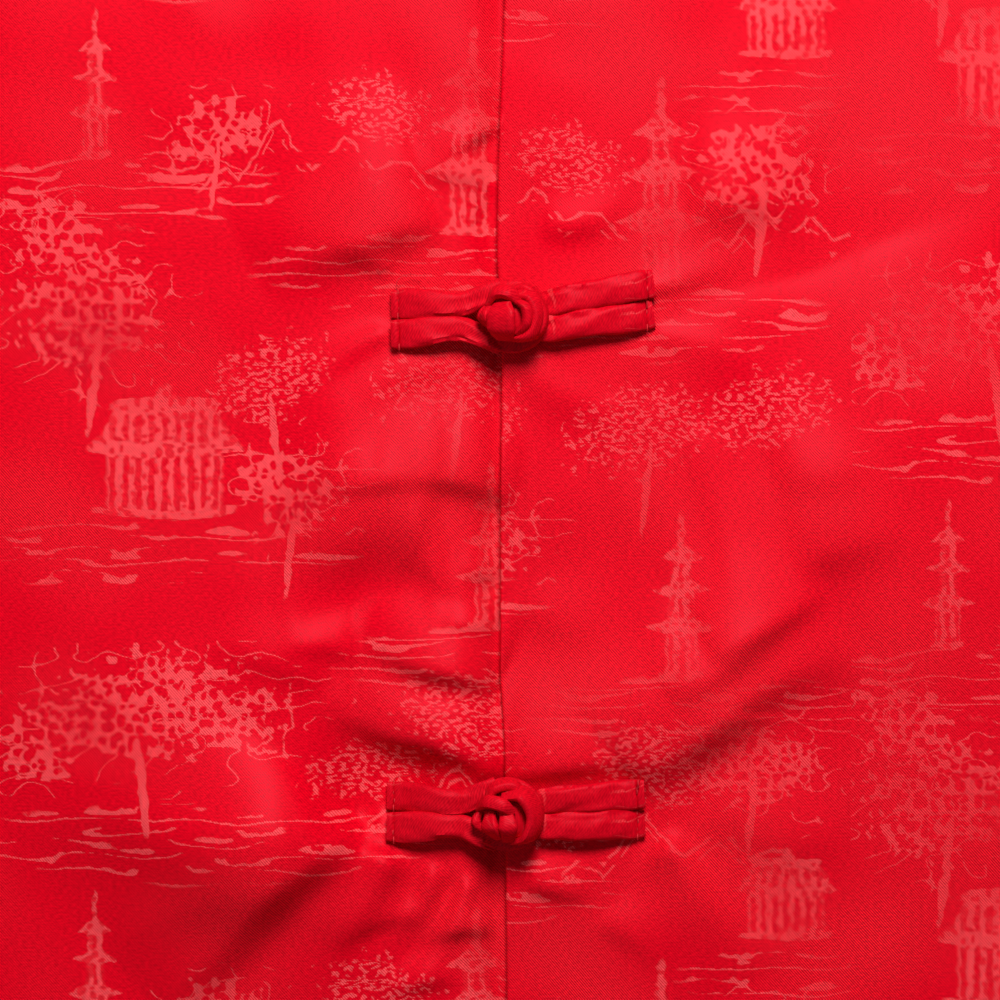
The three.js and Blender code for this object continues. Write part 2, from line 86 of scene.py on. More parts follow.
def closed_mesh(name, points, quads, cut):
    """One closed piece from points, faces of four corners and each corner's place in the cut."""
    a, b, c, d = (points[quads[:, k]] for k in range(4))
    volume = np.einsum("ij,ij->i", a, np.cross(b, c) + np.cross(c, d)).sum()
    if volume < 0:
        quads, cut = quads[:, ::-1], cut[:, ::-1]
    mesh = bpy.data.meshes.new(name)
    mesh.vertices.add(len(points))
    mesh.vertices.foreach_set("co", ((points + (0, HEM_Y, 0)) * MM).ravel())
    mesh.loops.add(quads.size)
    mesh.loops.foreach_set("vertex_index", quads.ravel().astype(np.int32))
    mesh.polygons.add(len(quads))
    mesh.polygons.foreach_set("loop_start", np.arange(0, quads.size, 4, dtype=np.int32))
    mesh.uv_layers.new(name="cut").data.foreach_set("uv", (cut * MM).ravel())
    mesh.update(calc_edges=True)
    mesh.validate()
    mesh.shade_smooth()
    mesh.set_sharp_from_angle(angle=math.radians(55))
    piece = bpy.data.objects.new(name, mesh)
    bpy.context.collection.objects.link(piece)
    return piece


def cloth_wall(name, upper, lower, cut):
    """A sheet of cloth between two grids of points, closed round its four edges."""
    rows, cols = upper.shape[:2]
    up = np.arange(rows * cols).reshape(rows, cols)
    down = up + rows * cols
    patches = [
        (up[:-1, :-1], up[:-1, 1:], up[1:, 1:], up[1:, :-1]),
        (down[:-1, :-1], down[1:, :-1], down[1:, 1:], down[:-1, 1:]),
        (up[0, :-1], down[0, :-1], down[0, 1:], up[0, 1:]),
        (up[-1, :-1], up[-1, 1:], down[-1, 1:], down[-1, :-1]),
        (up[:-1, 0], up[1:, 0], down[1:, 0], down[:-1, 0]),
        (up[:-1, -1], down[:-1, -1], down[1:, -1], up[1:, -1]),
    ]
    quads = np.concatenate([np.stack([np.ravel(k) for k in patch], 1) for patch in patches])
    points = np.concatenate([upper.reshape(-1, 3), lower.reshape(-1, 3)])
    places = np.concatenate([cut.reshape(-1, 2)] * 2)
    return closed_mesh(name, points, quads, places[quads])


class Wire:
    """A shader value that can be added, multiplied and compared like a number."""

    def __init__(self, tree, socket):
        self.tree = tree
        self.socket = socket

    def to(self, socket):
        self.tree.links.new(self.socket, socket)

    def node(self, kind, *inputs, **settings):
        made = self.tree.nodes.new(kind)
        for key, value in settings.items():
            setattr(made, key, value)
        for socket, value in zip(made.inputs, inputs):
            if isinstance(value, Wire):
                value.to(socket)
            elif value is not None:
                socket.default_value = value
        return made

    def op(self, operation, *others):
        made = self.node("ShaderNodeMath", self, *others, operation=operation)
        return Wire(self.tree, made.outputs[0])

    def __add__(self, other):
        return self.op("ADD", other)

    def __sub__(self, other):
        return self.op("SUBTRACT", other)

    def __mul__(self, other):
        return self.op("MULTIPLY", other)

    def __truediv__(self, other):
        return self.op("DIVIDE", other)

    def __abs__(self):
        return self.op("ABSOLUTE")

    def either(self, other):
        return self.op("MAXIMUM", other)

    def both(self, other):
        return self.op("MINIMUM", other)

    def above(self, level, soft):
        """0 below a level, 1 above it, with a soft edge."""
        made = self.node(
            "ShaderNodeMath", self, 1 / soft, 0.5 - level / soft, operation="MULTIPLY_ADD", use_clamp=True
        )
        return Wire(self.tree, made.outputs[0])

    def noise(self, v, scale_u, scale_v, detail=0.0, offset=0.0):
        """Noise over a plane, from about -0.5 to 0.5, with its grain scaled each way."""
        spot = self.node("ShaderNodeCombineXYZ", self * scale_u + offset, v * scale_v, 0.0)
        made = self.node("ShaderNodeTexNoise", Wire(self.tree, spot.outputs[0]), noise_dimensions="2D")
        made.inputs["Scale"].default_value = 1.0
        made.inputs["Detail"].default_value = detail
        return Wire(self.tree, made.outputs[0]) - 0.5

    def curve(self, table):
        """A line through a table of (place, height) pairs."""
        made = self.tree.nodes.new("ShaderNodeFloatCurve")
        made.mapping.extend = "HORIZONTAL"
        made.mapping.use_clip = False
        line = made.mapping.curves[0]
        for _ in range(len(table) - 2):
            line.points.new(0.5, 0.5)
        for point, (place, height) in zip(line.points, sorted(table)):
            point.location = (place, height)
            point.handle_type = "VECTOR"
        made.mapping.update()
        self.to(made.inputs["Value"])
        return Wire(self.tree, made.outputs[0])


def shader_group(name, inputs, outputs):
    """An empty node group: its tree, its inputs as wires, and a function that sets an output."""
    tree = bpy.data.node_groups.new(name, "ShaderNodeTree")
    for label, value in inputs.items():
        kind = "NodeSocketVector" if isinstance(value, tuple) else "NodeSocketFloat"
        socket = tree.interface.new_socket(label, in_out="INPUT", socket_type=kind)
        socket.default_value = value
    for label in outputs:
        tree.interface.new_socket(label, in_out="OUTPUT", socket_type="NodeSocketFloat")
    entry = tree.nodes.new("NodeGroupInput")
    leave = tree.nodes.new("NodeGroupOutput")
    wires = {label: Wire(tree, entry.outputs[label]) for label in inputs}

    def put(label, wire):
        wire.to(leave.inputs[label])

    return tree, wires, put


def use_group(tree, group, **values):
    """A group placed in a tree, each input a wire or a fixed value; gives its outputs as wires."""
    made = tree.nodes.new("ShaderNodeGroup")
    made.node_tree = group
    for label, value in values.items():
        if isinstance(value, Wire):
            value.to(made.inputs[label])
        else:
            made.inputs[label].default_value = value
    return [Wire(tree, socket) for socket in made.outputs]


# The damask is a figured weave of towers, roofed halls, leafy trees, pines, hills and water, each a
# small drawing in millimetres. Half widths of a tower go up its height, then those of a hall.
TOWER_WALLS = [
    (0.0, -0.2), (0.004, 0.62), (0.035, 0.62), (0.04, 0.46), (0.25, 0.43), (0.255, 1.0), (0.285, 0.8),
    (0.335, 0.4), (0.34, 0.36), (0.47, 0.34), (0.475, 0.8), (0.5, 0.62), (0.545, 0.3), (0.55, 0.27),
    (0.655, 0.25), (0.66, 0.6), (0.685, 0.45), (0.75, 0.14), (0.79, 0.06), (0.82, 0.13), (0.85, 0.06),
    (0.9, 0.1), (0.93, 0.04), (1.0, -0.2),
]
TOWER_ROOMS = [
    (0.0, 0.0), (0.05, 0.0), (0.055, 1.0), (0.235, 1.0), (0.24, 0.0), (0.35, 0.0), (0.355, 1.0),
    (0.455, 1.0), (0.46, 0.0), (0.56, 0.0), (0.565, 1.0), (0.64, 1.0), (0.645, 0.0), (1.0, 0.0),
]
HALL_WALLS = [
    (0.0, -0.2), (0.004, 0.9), (0.06, 0.9), (0.065, 0.72), (0.44, 0.72), (0.445, 1.0), (0.5, 0.9),
    (0.74, 0.62), (0.78, 0.68), (0.82, 0.6), (0.83, 0.1), (0.92, 0.07), (1.0, -0.2),
]
HALL_ROOMS = [
    (0.0, 0.0), (0.075, 0.0), (0.08, 1.0), (0.42, 1.0), (0.425, 0.0), (0.53, 0.0), (0.54, 0.8),
    (0.7, 0.8), (0.71, 0.0), (1.0, 0.0),
]


def building_group(name, walls, rooms):
    """Outline from half widths, eaves turned up at their tips, and open bays between columns."""
    tree, wires, put = shader_group(name, {"U": 0, "V": 0, "Height": 40, "Half": 9, "Bay": 2.4}, ["Figure"])
    out = abs(wires["U"]) / wires["Half"]
    raised = wires["V"] / wires["Height"] - out * out * 0.035
    inside = (raised.curve(walls) - out).above(0.0, 0.06)
    bays = (wires["U"] * wires["Bay"]).op("COSINE").above(0.15, 0.5).both(raised.curve(rooms))
    put("Figure", inside - inside * bays * 0.85)
    return tree


tower_group = building_group("Tower figure", TOWER_WALLS, TOWER_ROOMS)
hall_group = building_group("Hall figure", HALL_WALLS, HALL_ROOMS)
HILL_LINE = [
    (0.0, 0.05), (0.07, 0.28), (0.12, 0.36), (0.17, 0.22), (0.24, 0.5), (0.3, 0.86), (0.34, 0.92),
    (0.4, 0.6), (0.47, 0.34), (0.53, 0.48), (0.6, 0.72), (0.64, 0.62), (0.72, 0.3), (0.8, 0.44),
    (0.86, 0.4), (0.94, 0.14), (1.0, 0.02),
]


def make_hills():
    """A range of hills in outline, with a shorter line of rock under the ridge."""
    inputs = {"U": 0, "V": 0, "Wide": 30, "High": 14, "Shake": 0, "Gaps": 0}
    tree, w, put = shader_group("Hill figure", inputs, ["Figure"])
    along = w["U"] / w["Wide"] * 0.5 + 0.5
    away = w["V"] - along.curve(HILL_LINE) * w["High"] + w["Shake"]
    ridge = (abs(away) * -1.0).above(-0.45, 0.35).both(w["Gaps"].above(-0.12, 0.05))
    rocks = (abs(away + 2.4) * -1.0).above(-0.3, 0.35).both(w["Gaps"].above(0.03, 0.04))
    ends = (abs(along - 0.5) * -1.0).above(-0.49, 0.02).both(w["V"].above(-0.5, 0.4))
    put("Figure", ridge.either(rocks).both(ends))
    return tree


hill_group = make_hills()

# One repeat of the weave, in millimetres. Buildings and hills stand on u and v, the others are
# centred there. Buildings have a height, half width and bay, the rest a width and height and,
# but for hills, a lean.
REPEAT_WIDE = 132
REPEAT_HIGH = 176
THREAD_STEP = 0.2
TOWERS = [
    (94, 80, 46, 9.5, 2.1), (19, 96, 32, 5.5, 1.8), (98, 2, 36, 7.2, 2.1),
]
HALLS = [(33, 24, 29, 16, 2.6), (119, 126, 20, 10.5, 2.2)]
HILLS = [(64, 88, 25, 17), (120, 86, 19, 12), (100, 138, 27, 14)]
CROWNS = [
    (114, 104, 12, 10, 0), (17, 66, 15, 12, 0), (11, 81, 9, 8, 0), (34, 163, 23, 11, 0),
    (9, 156, 9, 8, 0.3), (112, 162, 13, 9, -0.3), (59, 30, 11, 9, 0), (43, 102, 10, 7, 0.3),
]
TUFTS = [
    (76, 106, 11, 7, -0.4), (54, 52, 11, 9, 0.4), (74, 150, 13, 6, 0.4), (92, 161, 13, 9, -0.4),
    (90, 52, 15, 9, 0.4), (115, 56, 13, 8, 0.4),
]
# Trunks, as narrow strokes.
STROKES = [
    (19, 53, 0.9, 12, 0.1), (29, 146, 1.0, 10, -0.1), (114, 92, 0.9, 10, 0.1), (58, 17, 0.8, 9, 0.1),
    (91, 40, 0.8, 10, 0.1), (55, 40, 0.7, 10, -0.1), (112, 151, 0.8, 9, 0.1), (43, 93, 0.6, 8, 0.1),
]
WATERS = [
    (90, 74, 38, 8, 0), (26, 90, 31, 7, 0), (34, 18, 36, 7, 0), (40, 136, 46, 8, 0), (102, -4, 36, 7, 0),
    (102, 172, 36, 7, 0), (118, 119, 20, 6, 0),
]


def damask_group():
    """The whole repeat, stepped to the threads as a loom draws it."""
    tree, w, put = shader_group("Damask", {"U": 0, "V": 0}, ["Figure"])
    column = (w["U"] / REPEAT_WIDE).op("FLOOR")
    v_drop = w["V"] + column * (REPEAT_HIGH / 2)
    u = w["U"].op("FLOORED_MODULO", float(REPEAT_WIDE)).op("SNAP", THREAD_STEP)
    v = v_drop.op("FLOORED_MODULO", float(REPEAT_HIGH)).op("SNAP", THREAD_STEP)
    ragged = u.noise(v, 0.42, 0.42, 1.0, 3.1)
    coarse = u.noise(v, 0.07, 0.4, 0.0, 9.0)

    # The drawing is shaken a little, as if by hand.
    u = u + ragged * 1.3
    v = v + coarse * 1.6 - ragged * 0.8
    leaning = {}

    def nearest(places):
        """How far inside the nearest of some ovals a place lies: 1 in its middle, 0 at its rim."""
        least = None
        for at_u, at_v, wide, high, lean in places:
            if lean not in leaning:
                spot = u.node("ShaderNodeCombineXYZ", u - v * lean, v, 0.0)
                leaning[lean] = Wire(tree, spot.outputs[0])
            spread = (1 / wide, 1 / high, 0)
            shift = ((at_v * lean - at_u) / wide, -at_v / high, 0)
            scaled = u.node("ShaderNodeVectorMath", leaning[lean], spread, shift, operation="MULTIPLY_ADD")
            away = u.node("ShaderNodeVectorMath", Wire(tree, scaled.outputs[0]), operation="LENGTH")
            away = Wire(tree, away.outputs["Value"])
            least = away if least is None else least.both(away)
        return least * least * -1.0 + 1.0

    # Crowns: leaf masses pierced by round holes, under a lobed rim.
    cells = tree.nodes.new("ShaderNodeTexVoronoi")
    cells.voronoi_dimensions = "2D"
    cells.inputs["Scale"].default_value = 0.5
    cells.inputs["Randomness"].default_value = 0.85
    crowns = nearest(CROWNS)
    leaning[0].to(cells.inputs["Vector"])
    from_hole = Wire(tree, cells.outputs["Distance"]) + ragged * 0.35 + coarse * 0.35
    pierced = from_hole.above(0.43, 0.07)
    figure = pierced.both((crowns + ragged * 2.0 + coarse * 1.2).above(0.25, 0.12))

    # Tufts of needles, then trunks, then winding boughs.
    needles = u.noise(v, 0.75, 1.5, 0.0, 5.0).above(0.06, 0.05)
    figure = figure.either(needles.both((nearest(TUFTS) + ragged * 2.6).above(0.2, 0.3)))
    figure = figure.either((nearest(STROKES) + ragged * 0.9).above(0.1, 0.25))
    winding = (abs(u.noise(v, 0.13, 0.19, 0.0, 14.0) + ragged * 0.04) * -1.0).above(-0.015, 0.012)
    figure = figure.either(winding.both((crowns + coarse * 3.0).above(-1.0, 0.3)))

    # Ripples, broken and thinning out towards the ends of each band.
    swell = (u * 0.31).op("SINE") * 0.35 + coarse * 2.6
    crest = ((v + swell) / 2.5 * (2 * math.pi)).op("SINE")
    ripples = (crest + coarse * 1.8 + ragged * 0.6).above(0.88, 0.12)
    figure = figure.either(ripples.both((nearest(WATERS) + coarse * 0.8).above(0.1, 0.3)))

    for at_u, at_v, wide, high in HILLS:
        sizes = {"Wide": wide, "High": high, "Shake": ragged * 1.6, "Gaps": coarse}
        figure = figure.either(use_group(tree, hill_group, U=u - at_u, V=v - at_v, **sizes)[0])
    built = None
    for group, places in ((tower_group, TOWERS), (hall_group, HALLS)):
        for at_u, at_v, height, half, bay in places:
            sizes = {"Height": height, "Half": half, "Bay": 2 * math.pi / bay}
            building = use_group(tree, group, U=u - at_u, V=v - at_v, **sizes)[0]
            built = building if built is None else built.either(building)
    figure = figure.either(built * (from_hole.above(0.3, 0.08) * 0.75 + 0.25))
    worn = ragged.above(-0.28, 0.1)
    put("Figure", figure * (worn * 0.75 + 0.25))
    return tree


damask = damask_group()
TWILL_PITCH = 0.42
TWILL_SLANT = math.radians(48)


def twill_group():
    """Satin's fine slanting lines, from -1 to 1, and the slubs and grain of its thread.

    Run is how fast the lines turn over along and across the cloth."""
    tree, w, put = shader_group("Twill", {"Place": (0, 0, 0), "Run": (0, 0, 0)}, ["Lines", "Slubs"])
    phase = w["Place"].node("ShaderNodeVectorMath", w["Place"], w["Run"], operation="DOT_PRODUCT")
    put("Lines", Wire(tree, phase.outputs["Value"]).op("SINE"))
    slubs = tree.nodes.new("ShaderNodeTexNoise")
    slubs.noise_dimensions = "2D"
    slubs.inputs["Scale"].default_value = 1.0
    slubs.inputs["Detail"].default_value = 1.0
    spread = w["Place"].node("ShaderNodeVectorMath", w["Place"], (1100, 2400, 0), operation="MULTIPLY")
    Wire(tree, spread.outputs[0]).to(slubs.inputs["Vector"])
    put("Slubs", Wire(tree, slubs.outputs[0]) - 0.5)
    return tree


twill = twill_group()
SATIN_RED = (0.78, 0.0006, 0.0125)
FIGURE_RED = (1.0, 0.108, 0.122)
PAINTED_SHEEN_RUN = 45  # how far across the cloth the painted sheen swings, showing and hiding the figure, in millimetres
# The least share of the figure that the painted sheen leaves showing.
LEAST_SHOWN = 0.12
SATIN_ROUGH = 0.4
WEAVE_HIGH = 0.04  # relief of the thread lines, in millimetres


def new_material(name):
    """A material, its tree and its shader."""
    made = bpy.data.materials.new(name)
    made.use_nodes = True
    return made, made.node_tree, made.node_tree.nodes["Principled BSDF"]


def colour_mix(tree, first=(1, 1, 1), second=(1, 1, 1)):
    """A mix of two colours, for a factor that is set or linked later."""
    made = tree.nodes.new("ShaderNodeMix")
    made.data_type = "RGBA"
    made.inputs["A"].default_value = (*first, 1)
    made.inputs["B"].default_value = (*second, 1)
    return made


def satin_material(name, strength, drift, ground=SATIN_RED, gloss=0.2, weave=1.0, turned=False):
    """Damask satin: figures stand lighter on the ground, and a painted sheen that swings across the cloth
    makes them come and go.

    Drift shifts the repeat, in millimetres. A turned satin is cut with its repeat lying sideways."""
    made, tree, shader = new_material(name)
    place = tree.nodes.new("ShaderNodeUVMap")
    place.uv_map = "cut"
    parts = tree.nodes.new("ShaderNodeSeparateXYZ")
    tree.links.new(place.outputs[0], parts.inputs[0])
    u = Wire(tree, parts.outputs[1 if turned else 0]) * 1000.0 + drift[0]
    v = Wire(tree, parts.outputs[0 if turned else 1]) * 1000.0 + drift[1]
    drawn = use_group(tree, damask, U=u, V=v)[0]
    weave_turns = 2 * math.pi / (TWILL_PITCH * MM)
    run = [weave_turns * math.sin(TWILL_SLANT), weave_turns * math.cos(TWILL_SLANT)]
    run = (*(run[::-1] if turned else run), 0)
    lines, slubs = use_group(tree, twill, Place=Wire(tree, place.outputs[0]), Run=run)
    # Painted sheen: where this share is high the figure shows strongly. Where it is low the figure fades and
    # the ground takes a painted sheen of paler twill lines (plain is that share). A slow wave across the
    # cloth and a broad noise set it.
    turn = ((u - drift[0]) / PAINTED_SHEEN_RUN).op("SINE") * -0.24
    painted_sheen_shown = u.noise(v, 0.03, 0.035, 0.0, 1.0) * 1.7 + turn + 0.66
    painted_sheen_shown = painted_sheen_shown.op("MAXIMUM", LEAST_SHOWN).op("MINIMUM", 1.0)
    mix = colour_mix(tree, ground, FIGURE_RED)
    plain = painted_sheen_shown * -1.0 + 1.0
    # The figure's weight is its drawing times the painted sheen share, and the pale twill lines on the rest
    # of the ground are painted sheen.
    figure_and_sheen_weight = drawn * painted_sheen_shown * strength * (lines * 0.35 + 0.7) + (lines + 1.0) * plain * (0.07 * weave)
    figure_and_sheen_weight.to(mix.inputs["Factor"])
    tone = colour_mix(tree)
    tone.blend_type = "MULTIPLY"
    tone.inputs["Factor"].default_value = 1.0
    tree.links.new(mix.outputs["Result"], tone.inputs["A"])
    # Thread grain: the twill lines and slubs darken and lighten the colour. The lines are stronger where the
    # ground has its painted sheen.
    grain_and_sheen_tone = lines * (plain * 0.4 + 0.14) * weave + slubs * 0.6 + 0.92
    grey = tree.nodes.new("ShaderNodeCombineXYZ")
    for socket in grey.inputs:
        grain_and_sheen_tone.to(socket)
    tree.links.new(grey.outputs[0], tone.inputs["B"])
    tree.links.new(tone.outputs["Result"], shader.inputs["Base Color"])
    rough = drawn * painted_sheen_shown * 0.1 + plain * 0.08 + slubs * 0.12 + SATIN_ROUGH
    rough.to(shader.inputs["Roughness"])
    bump = tree.nodes.new("ShaderNodeBump")
    bump.inputs["Strength"].default_value = 0.2
    bump.inputs["Distance"].default_value = WEAVE_HIGH * MM
    lines.to(bump.inputs["Height"])
    tree.links.new(bump.outputs[0], shader.inputs["Normal"])
    shader.inputs["Specular IOR Level"].default_value = gloss
    shader.inputs["Specular Tint"].default_value = (1.0, 0.17, 0.24, 1)
    return made


back_satin = satin_material("Back damask", 0.7, (31, 60))


def dress(piece, material, slot, *nodes):
    """Give a piece its satin or thread and hide the parts of the pattern it stands for."""
    piece.data.materials.append(material)
    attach(piece, "root")
    if nodes:
        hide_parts(*nodes)


def finish_cloth(piece, material, area, node):
    """Dress a sheet of cloth; the area of its flat cut is not used."""
    dress(piece, material, "red_brocade", node)


def grid_area(grid):
    """Flat area of a grid of points, in square metres."""
    a = grid[1:, 1:, :2] - grid[:-1, :-1, :2]
    b = grid[1:, :-1, :2] - grid[:-1, 1:, :2]
    return float(np.abs(a[..., 0] * b[..., 1] - a[..., 1] * b[..., 0]).sum() / 2) * MM * MM


def panel_grid(columns, low_rows, high_rows, top_of, straight):
    """Points of a body panel. Rows run from hem to underarm, then fan to its shaped top."""
    def spread(y):
        edge = side_x(y)
        outer = straight + (np.abs(columns) - straight) * (edge - straight) / (CHEST_HALF - straight)
        return np.sign(columns) * np.where(np.abs(columns) < straight, np.abs(columns), outer)
    rows = []
    for y in low_rows:
        rows.append(np.stack([spread(y), np.full(len(columns), float(y))], 1))
    tip = spread(TIP_Y)
    for part in high_rows:
        x = spread(UNDERARM_Y + part * ARMHOLE)
        rows.append(np.stack([x, UNDERARM_Y + part * (top_of(np.abs(tip)) - UNDERARM_Y)], 1))
    return np.array(rows)


def shoulder_y(x):
    return np.interp(x, [NECK_HALF, TIP_HALF], [LENGTH, TIP_Y])


def back_top(x):
    angle = np.arccos(np.clip(x / NECK_HALF, -1, 1))
    return np.where(x < NECK_HALF, LENGTH - BACK_NECK_DROP * np.sin(angle), shoulder_y(x))


even_columns = np.linspace(-CHEST_HALF, CHEST_HALF, 109)
back_columns = np.unique(np.r_[even_columns, -NECK_HALF, NECK_HALF])
back_low_rows = np.linspace(0, UNDERARM_Y, 80)
back_high_rows = np.linspace(0, 1, 56)[1:]
back_plan = panel_grid(back_columns, back_low_rows, back_high_rows, back_top, 80)
slit_share = 1 - smooth(back_plan[..., 1], SLIT - 20, SLIT)
back_plan[..., 0] += np.sign(back_plan[..., 0]) * SLIT_SPREAD * slit_share * (np.abs(back_columns) > 265)
back_upper = np.dstack([back_plan, np.full(back_plan.shape[:2], CLOTH)])
back_lower = np.dstack([back_plan, np.zeros(back_plan.shape[:2])])
back = cloth_wall("back_cloth", back_upper, back_lower, back_plan)
finish_cloth(back, back_satin, grid_area(back_plan), "back")

# ---- Fronts ----
# Two fronts of the same damask meet down the centre. The wearer's left one has a folded edge and
# laps over the right, and the fastenings draw both into soft creases between them.
FRONT_NECK_Y = TIP_Y - 3 * ARMHOLE / 20
FRONT_DROP = LENGTH - FRONT_NECK_Y
LAP = 12
LAP_GAP = 0.4
PUFF = 1.6
CENTRE_PUFF = 1.2
FROG_FIRST = 17
FROG_PITCH = 99
FROG_COUNT = 5
frog_y = [FRONT_NECK_Y - FROG_FIRST - k * FROG_PITCH for k in range(FROG_COUNT)]

# Folds: a start, an end, half width and rise; then, where a fold has them, how far one side is
# steeper, how far it bows, and whether it flares from its start, as a drag line does.
MAIN_FOLDS = [
    (-12, 505, -47, 492, 14, 2.8, 0.5),
    (38, 508, 64, 507, 11, 1.8, -0.35),
    (2, 451, -26, 452.5, 9, 2.0, 0.7),
    (-12, 448, -46, 446, 18, 2.3, 0.1),
    (-14, 431, -40, 424, 8, -1.1, 0.1, 2),
    (2, 411.5, -26, 418, 8.5, 2.8, 0.6),
    (2, 395.5, -36, 408, 8.5, 3.2, 0.45, -2),
    (0, 396, 34, 396, 8, 2.2, -0.5),
    (26, 393, 72, 421, 12, 3.6, -0.4),
    (44, 416, 66, 432, 9, 2.0, -0.5),
    (58, 437, 80, 443, 13, 1.3, -0.45),
    (-12, 388, -40, 385, 8, -2.4, 0.2),
    (-30, 384, -68, 347, 16, 3.9, 0.5, 3),
    (-30, 380, -104, 384, 32, 3.4, 0.45, 4),
    (-22, 377, -38, 344, 8, 2.6, 0.3, 2, 1),
    (30, 381, 50, 350, 7, 2.0, 0.2, 2, 1),
    (78, 500, 128, 376, 28, 3.0, 0.3, 8),
    (-24, 590, -70, 564, 9, 2.6, 0.2, 3, 1),
    (-22, 580, -62, 548, 7, -2.0, 0.2, 2, 1),
    (30, 588, 74, 556, 9, 2.4, -0.2, -3, 1),
    (-23, 292, -72, 318, 9, 2.8, 0.3, 3, 1),
    (-24, 284, -56, 236, 10, 3.0, 0.2, 2, 1),
    (30, 292, 74, 322, 9, 2.6, -0.3, -3, 1),
    (29, 284, 58, 240, 10, 2.4, 0.2, 3, 1),
    (-24, 192, -72, 218, 9, 2.8, 0.2, 3, 1),
    (-22, 184, -52, 116, 12, 3.2, 0.2, 4, 1),
    (30, 190, 78, 212, 9, 2.4, -0.2, -3, 1),
    (30, 182, 60, 118, 12, 3.0, -0.2, -4, 1),
    (-214, 600, -120, 470, 17, 3.4, 0.3, 6),
    (-250, 424, -150, 330, 18, 4.2, 0.3, 8, 1),
    (-262, 380, -120, 250, 20, 3.2, 0.2, 10),
    (-150, 300, -176, 40, 24, 3.6, 0.2, 8),
    (-96, 250, -92, 10, 20, 2.8, 0.3, 6),
    (-244, 250, -238, 20, 20, 3.0, 0.2, 6),
    (212, 590, 122, 484, 17, 3.0, -0.3, -6),
    (252, 420, 138, 340, 18, 4.0, -0.3, -8, 1),
    (262, 372, 160, 216, 20, 3.4, -0.2, -8),
    (118, 300, 150, 30, 24, 3.4, 0.2, 8),
    (84, 210, 70, 8, 19, 2.6, 0.2, -6),
    (232, 230, 246, 24, 20, 3.2, 0.2, 6),
]
FINE_FOLDS = [
    (-15, 449, -21, 428, 2.6, 0.8, 0.3),
    (-20, 452, -38, 449, 4, 0.9, 0.4),
    (0, 434, -9, 435, 3.0, 0.8, 0.4),
    (0, 423, -12, 425, 3.4, 0.8, 0.4),
    (-6, 430, -22, 436, 3.6, 0.5, 0.3),
    (-26, 415, -44, 420, 4.0, 0.9, 0.3, 1),
    (-34, 410, -58, 421, 6.0, 0.9, 0.4, 2),
    (-23, 391, -25, 374, 2.4, 0.9, 0.0),
    (-40, 372, -80, 362, 9.0, 1.2, 0.2, 3),
    (-6, 374, -15, 346, 3.0, 1.2, 0.3, 1, 1),
    (-14, 376, -28, 350, 3.0, 1.1, -0.2, -1, 1),
    (-10, 374, -20, 352, 2.2, -0.9, 0.0, 0, 1),
    (-2, 362, -18, 360, 3.0, 1.1, 0.4, 1),
    (-18, 366, -34, 357, 3.4, 1.0, 0.3, 1),
    (-8, 352, -24, 348, 3.4, 0.9, 0.3, 1),
    (4, 372, 18, 371, 3.6, 1.2, -0.4),
    (20, 366, 34, 354, 4.0, 0.8, -0.3),
    (-1, 524, -12, 516, 3.0, 1.0, 0.4),
    (-1, 512, -22, 515, 3.4, 0.7, 0.3),
    (-20, 492, -34, 500, 3.0, 0.8, 0.2, 1, 1),
    (-20, 480, -42, 470, 3.4, 0.9, 0.2, 1, 1),
    (-10, 476, -30, 466, 3.4, 0.6, 0.2, 1),
    (10, 505, 26, 504, 4.0, 0.9, -0.3, 1),
    (30, 490, 50, 495, 3.6, 1.1, -0.3, 1, 1),
    (30, 482, 56, 474, 4.0, 0.6, 0.2, 1, 1),
    (22, 470, 27, 430, 3.4, 0.55, 0.2, 1),
    (30, 468, 36, 416, 3.2, 0.5, 0.2, 1),
    (38, 462, 46, 424, 3.4, 0.5, -0.2, -1),
    (34, 408, 58, 422, 4.4, 1.1, -0.3, 1),
    (52, 452, 72, 458, 6.0, 0.8, -0.3, 1),
    (40, 384, 70, 380, 7.0, 1.0, -0.2, 1),
    (33, 380, 46, 360, 3.2, 0.8, 0.2, 1, 1),
    (2, 476, 24, 466, 4.0, 0.5, 0.0, 1),
    (2, 428, 22, 424, 5.0, 0.5, -0.2, 1),
]
FOLD_DEPTH = 1.5
FOLD_LEAN = 1.3


def fold_height(x, y, fold):
    """Round across and fading along its length; a negative rise is a trough."""
    x0, y0, x1, y1, half, rise, steeper, bow, flare = (*fold, 0, 0, 0)[:9]
    length = math.hypot(x1 - x0, y1 - y0)
    way = ((x1 - x0) / length, (y1 - y0) / length)
    t = np.clip(((x - x0) * way[0] + (y - y0) * way[1]) / length, 0, 1)
    arch = np.sin(np.pi * t**0.7)
    away = (x - x0) * way[1] - (y - y0) * way[0] - bow * np.sin(np.pi * t)
    lean = np.clip(FOLD_LEAN * steeper, -0.65, 0.65)
    width = half * np.where(away > 0, 1 + lean, 1 - lean)
    if flare:
        arch = smooth(t, 0, 0.12) * (1 - t) ** 0.9
        width = width * (0.5 + 0.9 * t)
    return rise * np.exp(-((away / width) ** 2)) * arch


def strayed(x, y):
    """Where a place lies among the folds, which wander a little from their straight lines."""
    to_x = x + 1.4 * np.sin(y / 13 + 1.1) + 0.8 * np.sin(y / 5.3 + x / 9)
    to_y = y + 1.2 * np.sin(x / 11 + 0.7) + 0.7 * np.sin(x / 4.9 - y / 8)
    return to_x, to_y


